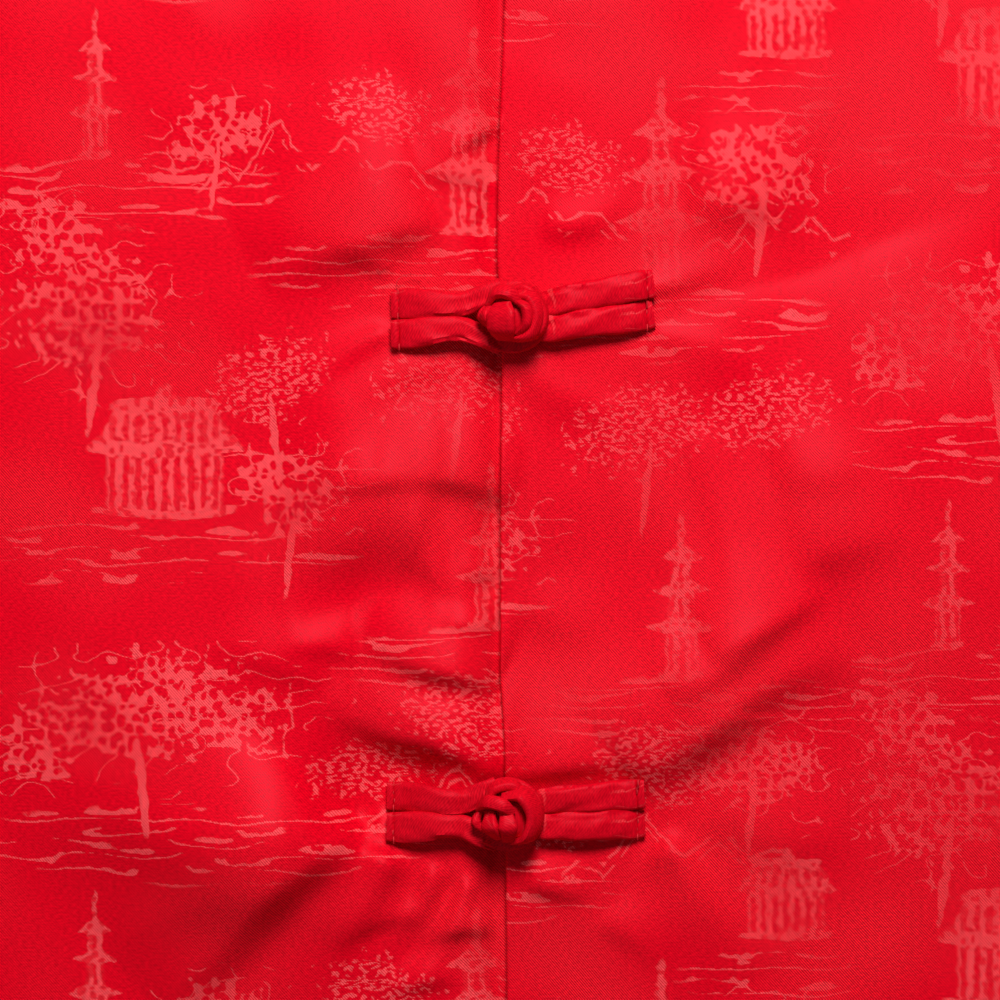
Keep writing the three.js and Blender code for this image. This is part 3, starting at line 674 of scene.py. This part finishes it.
def front_height(x, y):
    """Underside of the fronts above the surface, as in the pattern, with the finer creases."""
    to_side = (side_x(y) - np.abs(x)) / 26
    near_centre = 1 - smooth(np.abs(x), 30, 90)
    lift = PUFF + CENTRE_PUFF * near_centre * smooth(y, 0, 60)
    at_x, at_y = strayed(x, y)
    for fold in MAIN_FOLDS + FINE_FOLDS:
        lift = lift + FOLD_DEPTH * fold_height(at_x, at_y, fold)
    swell = soft_noise(x, y, 34, 1.7) * 1.1 + soft_noise(x, y, 13, 5.2) * 0.4
    lift = lift + swell * (0.45 + 0.55 * near_centre)
    soft_floor = 0.15 + 0.5 * np.log1p(np.exp(np.clip((lift - 0.15) / 0.5, -30, 30)))
    return CLOTH + GAP + soft_floor * smooth(to_side, 0, 1)


def front_top(x):
    sag = np.sqrt(np.clip(1 - (x / NECK_HALF) ** 2, 0, 1))
    return np.where(x < NECK_HALF, LENGTH - FRONT_DROP * sag, shoulder_y(x))


CLOSE_LOW = 336  # rows and columns are closest round the second and third fastenings
CLOSE_HIGH = 0.8
close_columns = np.r_[
    0, 0.12, 0.3, 0.55, 0.85, 1.25, 1.8, np.arange(2.5, 66, 1.15),
    np.arange(66, NECK_HALF, 1.0), np.arange(NECK_HALF, 82, 1.6), np.linspace(82, CHEST_HALF, 42),
]
front_low_rows = np.r_[np.arange(0, CLOSE_LOW, 4.5), np.arange(CLOSE_LOW, UNDERARM_Y, 1.15), UNDERARM_Y]
front_high_rows = np.r_[np.arange(1, 135) / 134 * CLOSE_HIGH, np.linspace(CLOSE_HIGH, 1, 18)[1:]]
EDGE_FOLD = 0.6  # radius of the turned front edge
opening_y = np.array([0, 348, 400, 412, 448, 479, 496, 514, 548, LENGTH])
opening_x = np.array([0.6, 1.4, 0.9, 0.1, 0.1, 0.4, -0.6, -0.4, 0.9, 0])
# How far the under front falls away beside the lapping edge: heights above the hem, then shares.
gape_y = [
    0, 130, 200, 260, 300, 340, 372, 386, 396, 410, 424, 440, 456, 472, 490, 503, 511, 518, 530, 548, 600,
]
gape = [
    0.6, 0.9, 0.3, 0.8, 0.3, 0.5, 0.9, 0.5, 0.1, 0.15, 0.8, 0.9, 0.5, 0.7, 0.3, 0.9, 0.35, 1, 0.45, 0.75, 0.3,
]
GAPE_DEPTH = 2.1


def front_panel(name, side, material, drift):
    """One front as a wall of cloth; the right one runs on under the left."""
    columns = close_columns
    if side < 0:
        columns = np.r_[-np.arange(LAP, 0, -1.0), close_columns]
    plan = panel_grid(columns, front_low_rows, front_high_rows, front_top, 75)
    cut = plan * (side, 1)
    wander = np.interp(plan[..., 1], opening_y, opening_x) * (1 - smooth(np.abs(plan[..., 0]), 0, 30))
    x = plan[..., 0] * side + wander
    y = plan[..., 1]
    low = front_height(x, y)
    high = low + CLOTH
    if side < 0:
        gaping = np.interp(y, gape_y, gape)
        sink = (CLOTH + LAP_GAP) * smooth(x - wander, -9, 0)
        sink = sink + GAPE_DEPTH * gaping * smooth(x - wander, -2 - 5 * gaping, -0.4) + 0.2
        low = np.maximum(low - sink, CLOTH + GAP)
        high = np.maximum(high - sink, 2 * CLOTH + GAP)
    else:
        from_edge = np.clip(plan[..., 0] / EDGE_FOLD, 0, 1)
        rounding = EDGE_FOLD * (1 - np.sqrt(1 - (1 - from_edge) ** 2))
        low, high = low + rounding, high - rounding
    panel = cloth_wall(name + "_cloth", np.dstack([x, y, high]), np.dstack([x, y, low]), cut)
    satin = satin_material(material, 0.82, drift)
    finish_cloth(panel, satin, grid_area(plan), name)


front_panel("front_right", -1, "Right front damask", (232, 196))
front_panel("front_left", 1, "Left front damask", (62, 118))

# ---- Sleeves ----
# Each sleeve is a tapered tube of damask set into the armhole and pressed flat by its own
# weight, with a few long creases that run from the underarm.
SLEEVE_LENGTH = 540
SLEEVE_TOP = 215  # half the girth that the damask runs round
CUFF = 150
SLEEVE_EDGE = 2.8
SLEEVE_PUFF = 1.6
sleeve_angle = math.radians(38)
# Along goes from armhole to cuff, across from shoulder to underarm edge.
SLEEVE_FOLDS = [
    (0.02, 0.62, 0.42, 0.3, 0.1, 2.8),
    (0.04, 0.88, 0.5, 0.62, 0.1, 2.6),
    (0.3, 0.12, 0.72, 0.34, 0.1, 2.2),
    (0.46, 0.84, 0.86, 0.5, 0.12, 2.4),
    (0.66, 0.16, 0.98, 0.3, 0.12, 2.2),
]
FINE_SLEEVE_FOLDS = [
    (0.0, 0.4, 0.2, 0.3, 0.03, 0.7),
    (0.0, 0.74, 0.26, 0.56, 0.03, 0.9),
    (0.1, 0.2, 0.4, 0.26, 0.04, 0.7),
    (0.5, 0.3, 0.8, 0.46, 0.04, 0.6),
    (0.7, 0.66, 0.97, 0.6, 0.04, 0.6),
]


def tube_faces(ids, place, inwards=False):
    """Faces between the rings of a tube, and each corner's place in the cut."""
    rows, around = ids.shape[0] - 1, ids.shape[1] - 1
    corners = [(0, 0), (0, 1), (1, 1), (1, 0)] if inwards else [(0, 0), (1, 0), (1, 1), (0, 1)]
    picks = [(slice(i, rows + i), slice(k, around + k)) for i, k in corners]
    quads = np.stack([ids[p].ravel() for p in picks], 1)
    return quads, np.stack([place[p].reshape(-1, 2) for p in picks], 1)


def sleeve(name, side, material, drift):
    """Rings from the armhole to the cuff: over the top, round the fold, back underneath."""
    across = np.linspace(0, 1, 61)
    along = np.linspace(0, 1, 150)
    down_arm = np.array([math.cos(sleeve_angle), -math.sin(sleeve_angle)])
    cuff_way = np.array([-math.sin(sleeve_angle), -math.cos(sleeve_angle)])
    arm = np.stack([arm_x[::-1] + GAP, arm_y[::-1]], 1)
    start = np.stack([np.interp(across * 10, range(11), arm[:, k]) for k in (0, 1)], 1)
    cuff_top = np.array([TIP_HALF, TIP_Y]) + down_arm * SLEEVE_LENGTH
    end = cuff_top + across[:, None] * cuff_way * CUFF
    plan = start[None] + (end - start)[None] * along[:, None, None]
    s, a = np.meshgrid(along, across, indexing="ij")
    bulge = np.sin(np.pi * a) ** 0.8 * smooth(s, 0, 0.1)
    top = SLEEVE_EDGE + SLEEVE_PUFF * bulge * (1 - 0.5 * smooth(s, 0.8, 1))
    for fold in SLEEVE_FOLDS + FINE_SLEEVE_FOLDS:
        top = top + bulge * fold_height(s, a, fold)
    top = top + bulge * soft_noise(plan[..., 0], plan[..., 1], 30, 3.0 + side) * 0.7
    inner_plan = plan.copy()
    for edge, inwards in ((0, 1), (-1, -2)):
        way = plan[:, inwards] - plan[:, edge]
        inner_plan[:, edge] += way / np.linalg.norm(way, axis=1)[:, None] * CLOTH
    under = np.zeros_like(top)

    def ring(over, height, beneath, depth):
        halves = [np.dstack([over, height]), np.dstack([beneath, depth])[:, ::-1]]
        return np.concatenate(halves, 1) * (side, 1, 1)

    outer = ring(plan, top, plan, under)
    inner = ring(inner_plan, top - CLOTH, inner_plan, under + CLOTH)
    rings, n = outer.shape[:2]
    out = np.arange(rings * n).reshape(rings, n)
    out = np.concatenate([out, out[:, :1]], 1)
    into = out + rings * n
    round_u = np.linspace(0, 2 * SLEEVE_TOP, n + 1)[None] * np.ones((rings, 1))
    round_v = -s[:, :1] * SLEEVE_LENGTH * np.ones((1, n + 1))
    place = np.dstack([round_u, round_v])
    quads, cut = (list(both) for both in zip(tube_faces(out, place), tube_faces(into, place, True)))
    for row, flip in ((0, False), (rings - 1, True)):
        rim = [out[row, 1:], into[row, 1:], into[row, :-1], out[row, :-1]]
        spots = [place[row, 1:], place[row, 1:], place[row, :-1], place[row, :-1]]
        order = [3, 2, 1, 0] if flip else [0, 1, 2, 3]
        quads.append(np.stack([rim[k] for k in order], 1))
        cut.append(np.stack([spots[k] for k in order], 1))
    points = np.concatenate([outer.reshape(-1, 3), inner.reshape(-1, 3)])
    piece = closed_mesh(name + "_cloth", points, np.concatenate(quads), np.concatenate(cut))
    satin = satin_material(material, 0.75, drift)
    area = 2 * grid_area(np.dstack([plan, under]))
    finish_cloth(piece, satin, area, name)


sleeve("sleeve_right", -1, "Right sleeve damask", (20, 90))
sleeve("sleeve_left", 1, "Left sleeve damask", (90, 30))

# ---- Collar ----
# The collar is a stiffened double band of damask, sewn round the neckline with its rounded ends
# meeting at the centre. It stands up in front and leans back flat behind.
COLLAR_HIGH = 42
COLLAR_WALL = 2
COLLAR_GAP = 0.4
COLLAR_CORNER = 12  # radius of its front ends
FRONT_RISE = math.radians(46)
BACK_RISE = math.radians(14)


def collar_band():
    shrink = 1 - COLLAR_GAP / NECK_HALF
    front_x = np.r_[0.5, 1, 1.8, 3, 4.5, 6.5, 9, np.linspace(12, 68, 29), 70, 71, 71.6]
    front_y = LENGTH - (LENGTH - front_top(front_x / shrink)) * shrink
    angles = np.linspace(0, np.pi, 42)[1:-1]
    back_x = NECK_HALF * np.cos(angles) * shrink
    back_y = LENGTH - BACK_NECK_DROP * np.sin(angles) + COLLAR_GAP
    base_x = np.r_[front_x, back_x, -front_x[::-1]]
    base_y = np.r_[front_y, back_y, front_y[::-1]]
    behind = np.zeros(len(base_x), bool)
    behind[len(front_x):len(front_x) + len(back_x)] = True
    lean_front = 0.5 * smooth(base_y, FRONT_NECK_Y, LENGTH)
    backness = np.where(behind, 1 - 0.5 * np.abs(base_x) / NECK_HALF, lean_front)
    foot = np.where(behind, GAP, front_height(np.sign(base_x) * (np.abs(base_x) + 1), base_y))
    from_end = np.clip((np.abs(base_x) + np.maximum(0, base_y - FRONT_NECK_Y)) / COLLAR_CORNER, 0, 1)
    high = COLLAR_HIGH - COLLAR_CORNER * (1 - np.sqrt(1 - (1 - from_end) ** 2))
    rise = FRONT_RISE + (BACK_RISE - FRONT_RISE) * backness
    up = np.linspace(0, 1, 24)[:, None]
    ones = np.ones_like(up)
    outer = np.dstack([
        base_x * ones, base_y + up * high * np.cos(rise), foot + up * high * np.sin(rise),
    ])
    along = np.gradient(np.stack([base_x, base_y], 1), axis=0)
    inwards = np.stack([-along[:, 1], along[:, 0], 0 * along[:, 0]], 1)
    inwards /= np.linalg.norm(inwards, axis=1)[:, None]
    thick = inwards * (1 - backness)[:, None] + np.array([0, 0, 1]) * backness[:, None]
    thick = np.where(behind[:, None], np.array([0, 0, 1.0]), thick)
    thick *= COLLAR_WALL / np.linalg.norm(thick, axis=1)[:, None]
    pillow = np.sin(np.pi * np.clip(up, 0.0, 1.0)) ** 0.4
    outer = outer + thick[None] * (0.16 * (1 - pillow))[..., None]
    inner = outer + thick[None] * (0.84 + 0.16 * pillow)[..., None]
    run = np.r_[0, np.cumsum(np.hypot(np.diff(base_x), np.diff(base_y)))]
    cut = np.dstack([run * ones, up * high])
    band = cloth_wall("collar_cloth", outer, inner, cut)
    satin = satin_material("Collar damask", 0.75, (12, 140))
    area = float((np.diff(run) * (high[1:] + high[:-1]) / 2).sum()) * MM * MM
    finish_cloth(band, satin, area, "collar")


collar_band()

# ---- Frog fastenings ----
# Each fastening is a bias strip of satin rolled into a soft tube and doubled. One side ends in a
# loop, the other is tied into a ball knot, and both are hand sewn down at their folded ends.
FROG_RED = (0.66, 0.0005, 0.011)
frog_satin = satin_material("Frog satin", 0.5, (70, 20), FROG_RED, gloss=0.22, weave=0.25, turned=True)
STRIP_WIDE = 5.9
STRIP_GIRTH = 6  # length round a strip over its half width
LOOP_NARROW = 2.35
KNOT_NARROW = 2.65
STITCH_IN = 1.4
RING_WIDE = 4.0
RING_THICK = 2.7
RING_RADIUS = 5.4
RING_REACH = 122  # degrees to each side of the arm's line
RING_LIFT = 2.7
RING_TIP = 0.9  # how much higher the ring lies at its far end
BALL_RADIUS = 6.2
BALL_LIFT = 4.5
BALL_SQUASH = 0.74


def sweep(path, wide, thick, sideways, steps, sides, wrinkle=0.0, seed=0.0):
    """A flattened soft tube along a path. sideways gives the way its width lies at each point.

    There is one width and one thickness for the whole path, or one for each of its points."""
    path = np.array(path, float)
    knots = np.r_[0, np.cumsum(np.linalg.norm(np.diff(path, axis=0), axis=1) ** 0.5)]
    knots /= knots[-1]
    t = np.linspace(0, 1, steps)
    slopes = np.gradient(path, knots, axis=0)
    k = np.clip(np.searchsorted(knots, t, side="right") - 1, 0, len(knots) - 2)
    gap = (knots[k + 1] - knots[k])[:, None]
    h = ((t - knots[k]) / gap[:, 0])[:, None]
    centre = (
        (2 * h**3 - 3 * h**2 + 1) * path[k] + (h**3 - 2 * h**2 + h) * gap * slopes[k]
        + (3 * h**2 - 2 * h**3) * path[k + 1] + (h**3 - h**2) * gap * slopes[k + 1]
    )
    tangent = np.gradient(centre, axis=0)
    tangent /= np.linalg.norm(tangent, axis=1)[:, None]
    across = sideways(centre, tangent)
    across -= (across * tangent).sum(1)[:, None] * tangent
    across /= np.linalg.norm(across, axis=1)[:, None]
    up = np.cross(tangent, across)
    run = np.r_[0, np.cumsum(np.linalg.norm(np.diff(centre, axis=0), axis=1))]
    widths = np.interp(t, knots, np.broadcast_to(wide, len(path)))[:, None] / 2
    thicks = np.interp(t, knots, np.broadcast_to(thick, len(path)))[:, None] / 2
    angle = np.linspace(0, 2 * np.pi, sides, endpoint=False)[None]
    flat_x = np.sign(np.cos(angle)) * np.abs(np.cos(angle)) ** 0.75
    flat_z = np.sign(np.sin(angle)) * np.abs(np.sin(angle)) ** 0.55
    around = angle + 0 * t[:, None]
    length = run[:, None] + 0 * angle
    crease_along = length * 0.42 + 2 * np.cos(around)
    crease_round = 3.2 * np.sin(around) + 4 * np.cos(around)
    crease = soft_noise(crease_along, crease_round, 1.9, seed)
    crumple = np.interp(t, knots, np.broadcast_to(wrinkle, len(path)))[:, None]
    swell = 1 + crumple * crease * 2
    x = flat_x * widths * (1 + 0.3 * (swell - 1))
    z = flat_z * thicks * swell
    points = centre[:, None] + across[:, None] * x[..., None] + up[:, None] * z[..., None]
    ids = np.arange(steps * sides).reshape(steps, sides)
    ids = np.concatenate([ids, ids[:, :1]], 1)
    girth = np.linspace(0, STRIP_GIRTH, sides + 1)[None] * widths
    place = np.dstack([girth, run[:, None] + 0 * girth])
    quads, cut = tube_faces(ids, place)
    end_quads, end_cut = [], []
    for row, order in ((0, 1), (steps - 1, -1)):
        for j in range(1, sides // 2):
            corner = [ids[row, j - 1], ids[row, j], ids[row, sides - j - 1], ids[row, sides - j]]
            if j == 1:
                corner = [ids[row, 0], ids[row, 1], ids[row, sides - 2], ids[row, sides - 1]]
            end_quads.append(corner[::order])
            end_cut.append([place[row, 0]] * 4)
    quads = np.concatenate([quads, np.array(end_quads)])
    cut = np.concatenate([cut, np.array(end_cut)])
    return points.reshape(-1, 3), quads, cut


def gather(parts):
    """Several closed tubes as one piece."""
    points, quads, cuts, count = [], [], [], 0
    for part_points, part_quads, part_cut in parts:
        points.append(part_points)
        quads.append(part_quads + count)
        cuts.append(part_cut)
        count += len(part_points)
    return np.concatenate(points), np.concatenate(quads), np.concatenate(cuts)


def level(centre, tangent):
    return np.cross([0, 0, 1.0], tangent)


def crosswise(centre, tangent):
    return np.array([0, 1.0, 0]) + 0 * centre


def cloth_top(x, y):
    """Top of the fronts, highest within a strip's half width."""
    reach = [(0, 0), (2.4, 0), (-2.4, 0), (0, 2.4), (0, -2.4)]
    xs = np.array([x + dx for dx, _ in reach])
    ys = np.array([y + dy for _, dy in reach])
    return float(front_height(xs, ys).max()) + CLOTH


# Per fastening: tilt of the loop and knot arms, their outer ends, where the ball sits across,
# and which of the two ways the ball is tied.
FROG_FORMS = [
    (0.01, 0.04, -22.4, 29.6, 2.2, 1),
    (-0.04, 0.16, -21.6, 30.6, 2.4, 0),
    (0.03, 0.05, -22.6, 28.8, 1.5, 1),
    (-0.02, 0.08, -22.2, 29.8, 2.4, 0),
    (0.02, 0.02, -22.6, 29.2, 2.0, 1),
]
# Strands of the ball as places on its disc from -1 to 1, then width and how far out they lie.
COILED_KNOT = [
    ([(-0.3, 0.95), (0.45, 0.85), (0.95, 0.15), (0.8, -0.5), (0.15, -0.95)], 3.6, 0.2),
    ([(-0.1, 0.74), (0.5, 0.52), (0.7, 0.0), (0.5, -0.55), (0.0, -0.82)], 2.7, 0.8),
    ([(0.1, 0.5), (0.36, 0.2), (0.38, -0.2), (0.14, -0.62)], 1.9, 1.1),
    ([(-0.97, 0.5), (-0.95, 0.0), (-0.8, -0.55)], 2.6, 0.1),
    ([(-0.74, 0.4), (-0.78, 0.0), (-0.7, -0.5)], 2.3, 0.6),
    ([(-0.3, 0.4), (-0.3, 0.05), (-0.28, -0.35), (-0.24, -0.78)], 6.0, 1.2),
    ([(-0.78, 0.36), (-0.42, 0.6), (-0.06, 0.58), (0.2, 0.42)], 3.0, 1.3),
]
WOVEN_KNOT = [
    ([(-0.8, 0.35), (-0.4, 0.82), (0.2, 0.9), (0.65, 0.6)], 3.4, 0.4),
    ([(-0.2, 0.7), (0.42, 0.62), (0.78, 0.02), (0.62, -0.6), (0.2, -0.97)], 5.0, 0.7),
    ([(-0.97, 0.3), (-0.97, -0.2), (-0.7, -0.7)], 3.0, 0.2),
    ([(-0.6, 0.15), (-0.5, -0.3), (-0.32, -0.78)], 3.9, 0.8),
    ([(-0.06, 0.2), (0.02, -0.3), (0.04, -0.85)], 3.9, 1.0),
    ([(-1.0, 0.25), (-0.5, 0.38), (-0.1, 0.28), (0.18, 0.1)], 2.7, 1.3),
]


def ball_strand(centre, places, wide, out, seed):
    """One flat strand over the ball, its ends tucked in under its neighbours."""
    path = []
    for k, (a, b) in enumerate(places):
        tucked = 1.3 if k in (0, len(places) - 1) else 0.0
        height = math.sqrt(max(0.02, 1 - a * a - b * b))
        way = np.array([a, b, height]) / math.sqrt(a * a + b * b + height * height)
        path.append(centre + way * (BALL_RADIUS + out - tucked) * (1, 1, BALL_SQUASH))

    def flat_on_ball(spot, tangent):
        return np.cross(spot - centre, tangent)

    middle = len(places) - 2
    widths = [wide * 0.6, *[wide] * middle, wide * 0.6]
    return sweep(path, widths, [0.9, *[2.0] * middle, 0.9], flat_on_ball, 30, 18, 0.14, seed)


def ball_core(centre):
    """The knot's hidden middle, a plain ball that closes the gaps between strands."""
    rise = np.linspace(-0.99, 0.99, 11)
    path = centre + np.stack([0 * rise, 0 * rise, rise * BALL_RADIUS * 0.8 * BALL_SQUASH], 1)
    girth = 2 * BALL_RADIUS * 0.82 * np.sqrt(1 - rise**2)
    return sweep(path, girth, girth, crosswise, 14, 16)


def arm(y, end_x, y_sign, tilt, narrow, tail, seed):
    """One run of an arm, flat under its stitches, then bowed off the cloth towards the knot."""
    side = math.copysign(1, end_x)
    wide = (STRIP_WIDE + 0.1) / 2
    # Place across, offset from the middle of the arm, lift, width and thickness.
    rows = [
        (end_x, wide, 0.8, 5.5, 1.2),
        (end_x - side * 0.9, wide, 0.95, 5.8, 1.5),
        (end_x - side * STITCH_IN, wide, 0.75, 5.8, 0.8),
        (end_x - side * 1.95, wide, 1.05, 5.9, 1.7),
        (end_x - side * 3.6, wide, 1.5, 6.1, 2.3),
        (end_x * 0.67, (wide + narrow) / 2, 2.4, 5.8, 3.0),
        (end_x * 0.45, narrow, 2.7, 2 * narrow + 0.3, 3.1),
    ]
    path = []
    for x, offset, lift, *_ in rows:
        dy = y_sign * offset + tilt * abs(x - side * 8)
        path.append((x, y + dy, cloth_top(x, y + dy) + lift))
    wide_at = [row[3] for row in rows] + [spot[3] for spot in tail]
    thick_at = [row[4] for row in rows] + [spot[4] for spot in tail]
    path += [spot[:3] for spot in tail]
    crumples = np.linspace(0.02, 0.3, len(path))
    return sweep(path, wide_at, thick_at, crosswise, 80, 24, crumples, seed)


# The sewing thread is red. A fine random noise mixes a darker red, which is painted shade, with a paler red,
# which is painted highlight specks.
THREAD_RED_PAINTED_SHADE = (0.3, 0.001, 0.005)
THREAD_RED_PAINTED_HIGHLIGHT = (0.95, 0.045, 0.06)
thread_red, tree, shader = new_material("Sewing thread")
place = tree.nodes.new("ShaderNodeTexCoord")
grain = tree.nodes.new("ShaderNodeTexNoise")
grain.inputs["Scale"].default_value = 900
colours = colour_mix(tree, THREAD_RED_PAINTED_SHADE, THREAD_RED_PAINTED_HIGHLIGHT)
tree.links.new(place.outputs["Object"], grain.inputs["Vector"])
tree.links.new(grain.outputs[0], colours.inputs["Factor"])
tree.links.new(colours.outputs["Result"], shader.inputs["Base Color"])
shader.inputs["Roughness"].default_value = 0.6
shader.inputs["Specular IOR Level"].default_value = 0.2
shader.inputs["Specular Tint"].default_value = (1.0, 0.2, 0.32, 1)
STITCH_LONG = 1.25
STITCH_PITCH = 1.55
STITCH_RISE = 1.42  # over the cloth, on top of the strip's sewn groove
THREAD = 0.3
LOOSE_THREAD = 0.16


def stitch_row(x, y, tilt_y, seed):
    """Stitches across an arm's sewn end, pulled into the strip."""
    stitches = []
    reach = STRIP_WIDE - 0.3
    for k, dy in enumerate(np.arange(-reach, reach + 0.1, STITCH_PITCH)):
        jog = 0.15 * math.sin(seed + 2.3 * k)
        middle = y + tilt_y + dy
        top = cloth_top(x, middle) + STITCH_RISE
        bends = ((-STITCH_LONG / 2, -0.25), (0, 0.12), (STITCH_LONG / 2, -0.25))
        path = [(x + jog, middle + along, top + rise) for along, rise in bends]
        stitches.append(sweep(path, THREAD, THREAD, level, 7, 6))
    return stitches


def loose_thread(x, y, length, turn, seed):
    """A cut end of thread left standing by a sewn end."""
    path = []
    for k, t in enumerate(np.linspace(0, 1, 5)):
        bend = turn + 0.7 * math.sin(seed + 3 * t)
        px = x + length * t * math.cos(bend)
        py = y + length * t * math.sin(bend)
        path.append((px, py, cloth_top(px, py) + 1.2 + 0.5 * math.sin(3 * t)))
    return sweep(path, LOOSE_THREAD, LOOSE_THREAD, level, 12, 6)


for number, (y, form) in enumerate(zip(frog_y, FROG_FORMS), 1):
    loop_tilt, knot_tilt, loop_end, knot_end, ball_x, woven = form
    cloth = max(cloth_top(ball_x + dx, y) for dx in (-8, -4, 0, 4, 8))
    ball = np.array([ball_x, y, cloth + BALL_LIFT])
    ring_z = cloth + RING_LIFT

    # The loop: two runs that part round the ball and meet behind it.
    for_loop = []
    for sign in (1, -1):
        tail = [
            (-7, y + sign * 2.6, ring_z - 0.4, 4.8, 2.8),
            (ball_x - 5.5, y + sign * 4.2, ring_z, 4.2, 2.6),
            (ball_x - 2, y + sign * 5.8, ring_z, 3.6, 2.5),
        ]
        for_loop.append(arm(y, loop_end, sign, loop_tilt, LOOP_NARROW, tail, number + 0.3 * sign))
    ring = []
    for degrees in np.linspace(-RING_REACH, RING_REACH, 13):
        across, along = math.cos(math.radians(degrees)), math.sin(math.radians(degrees))
        ring.append((ball_x + RING_RADIUS * across, y + RING_RADIUS * along, ring_z + RING_TIP * across))
    for_loop.append(sweep(ring, RING_WIDE, RING_THICK, level, 48, 20, 0.16, number))
    loop = closed_mesh(f"frog_{number}_loop_strip", *gather(for_loop))
    dress(loop, frog_satin, "red_satin", f"frog_{number}_loop")

    # The knot: two runs that come in under the loop, and the ball.
    for_knot = [ball_core(ball)]
    for sign in (1, -1):
        tail = [
            (ball_x + 7, y + sign * 2.5 + 0.3 * knot_tilt, cloth + 2.2, 5.0, 2.8),
            (ball_x + 3, y + sign * 2.0, cloth + 2.0, 4.0, 2.6),
        ]
        for_knot.append(arm(y, knot_end, sign, knot_tilt, KNOT_NARROW, tail, number + 5 + 0.3 * sign))
    for k, (places, wide, out) in enumerate(WOVEN_KNOT if woven else COILED_KNOT):
        for_knot.append(ball_strand(ball, places, wide, out, number * 3.1 + k))
    knot = closed_mesh(f"frog_{number}_knot_strip", *gather(for_knot))
    dress(knot, frog_satin, "red_satin", f"frog_{number}_knot")

    # Stitches across both ends, and thread ends left by hand.
    sewing = []
    for end, tilt in ((loop_end, loop_tilt), (knot_end, knot_tilt)):
        side = math.copysign(1, end)
        x = end - side * STITCH_IN
        sewing += stitch_row(x, y, tilt * abs(x - side * 8), number)
        tail_y = y + 5.2 + tilt * 20
        sewing.append(loose_thread(x, tail_y, 4.0 + number % 3, 1.5 + side * 0.3, number + side))
    dress(closed_mesh(f"frog_{number}_stitches", *gather(sewing)), thread_red, "red_satin")

# ---- Studio ----
# The shirt lies on a pale tabletop under one broad lamp from beyond its neck, with a weak fill.
# The camera looks straight down on the second and third fastenings.
TABLE_HALF = 4.0
TABLE_Z = -0.0005
floor_mesh = bpy.data.meshes.new("tabletop")
table_corners = [(a * TABLE_HALF, b * TABLE_HALF, TABLE_Z) for a, b in ((-1, -1), (1, -1), (1, 1), (-1, 1))]
floor_mesh.from_pydata(table_corners, [], [(0, 1, 2, 3)])
floor = bpy.data.objects.new("tabletop", floor_mesh)
bpy.context.collection.objects.link(floor)
pale, _, pale_shader = new_material("Pale tabletop")
pale_shader.inputs["Base Color"].default_value = (0.62, 0.61, 0.6, 1)
pale_shader.inputs["Roughness"].default_value = 0.7
floor_mesh.materials.append(pale)

VIEW_ABOVE = 13  # the view's middle lies this far towards the neck from between the two frogs
CAMERA_HIGH = 0.92
CAMERA_LENS = 165
view_y = (HEM_Y + (frog_y[1] + frog_y[2]) / 2 + VIEW_ABOVE) * MM
scene = bpy.context.scene
camera_data = bpy.data.cameras.new("camera")
camera = bpy.data.objects.new("camera", camera_data)
scene.collection.objects.link(camera)
camera.location = (0.0, view_y, CAMERA_HIGH)
camera_data.lens = CAMERA_LENS
camera_data.clip_start = 0.02
scene.camera = camera

world = bpy.data.worlds.new("studio")
world.use_nodes = True
backdrop = world.node_tree.nodes["Background"]
backdrop.inputs["Color"].default_value = (1, 0.97, 0.97, 1)
backdrop.inputs["Strength"].default_value = 0.07
scene.world = world
scene.view_settings.view_transform = "Standard"
# Each lamp's place, then its size and power.
LAMPS = [
    ("main", (0.07, 0.61, 0.66), 0.28, 8.9),
    ("fill", (-0.6, -0.5, 1.1), 1.2, 1.8),
]
for label, place, size, power in LAMPS:
    lamp = bpy.data.lights.new(label, "AREA")
    lamp.size = size
    lamp.energy = power
    holder = bpy.data.objects.new(label, lamp)
    holder.location = place
    aim = Vector((0, view_y, 0)) - holder.location
    holder.rotation_euler = aim.to_track_quat("-Z", "Y").to_euler()
    scene.collection.objects.link(holder)
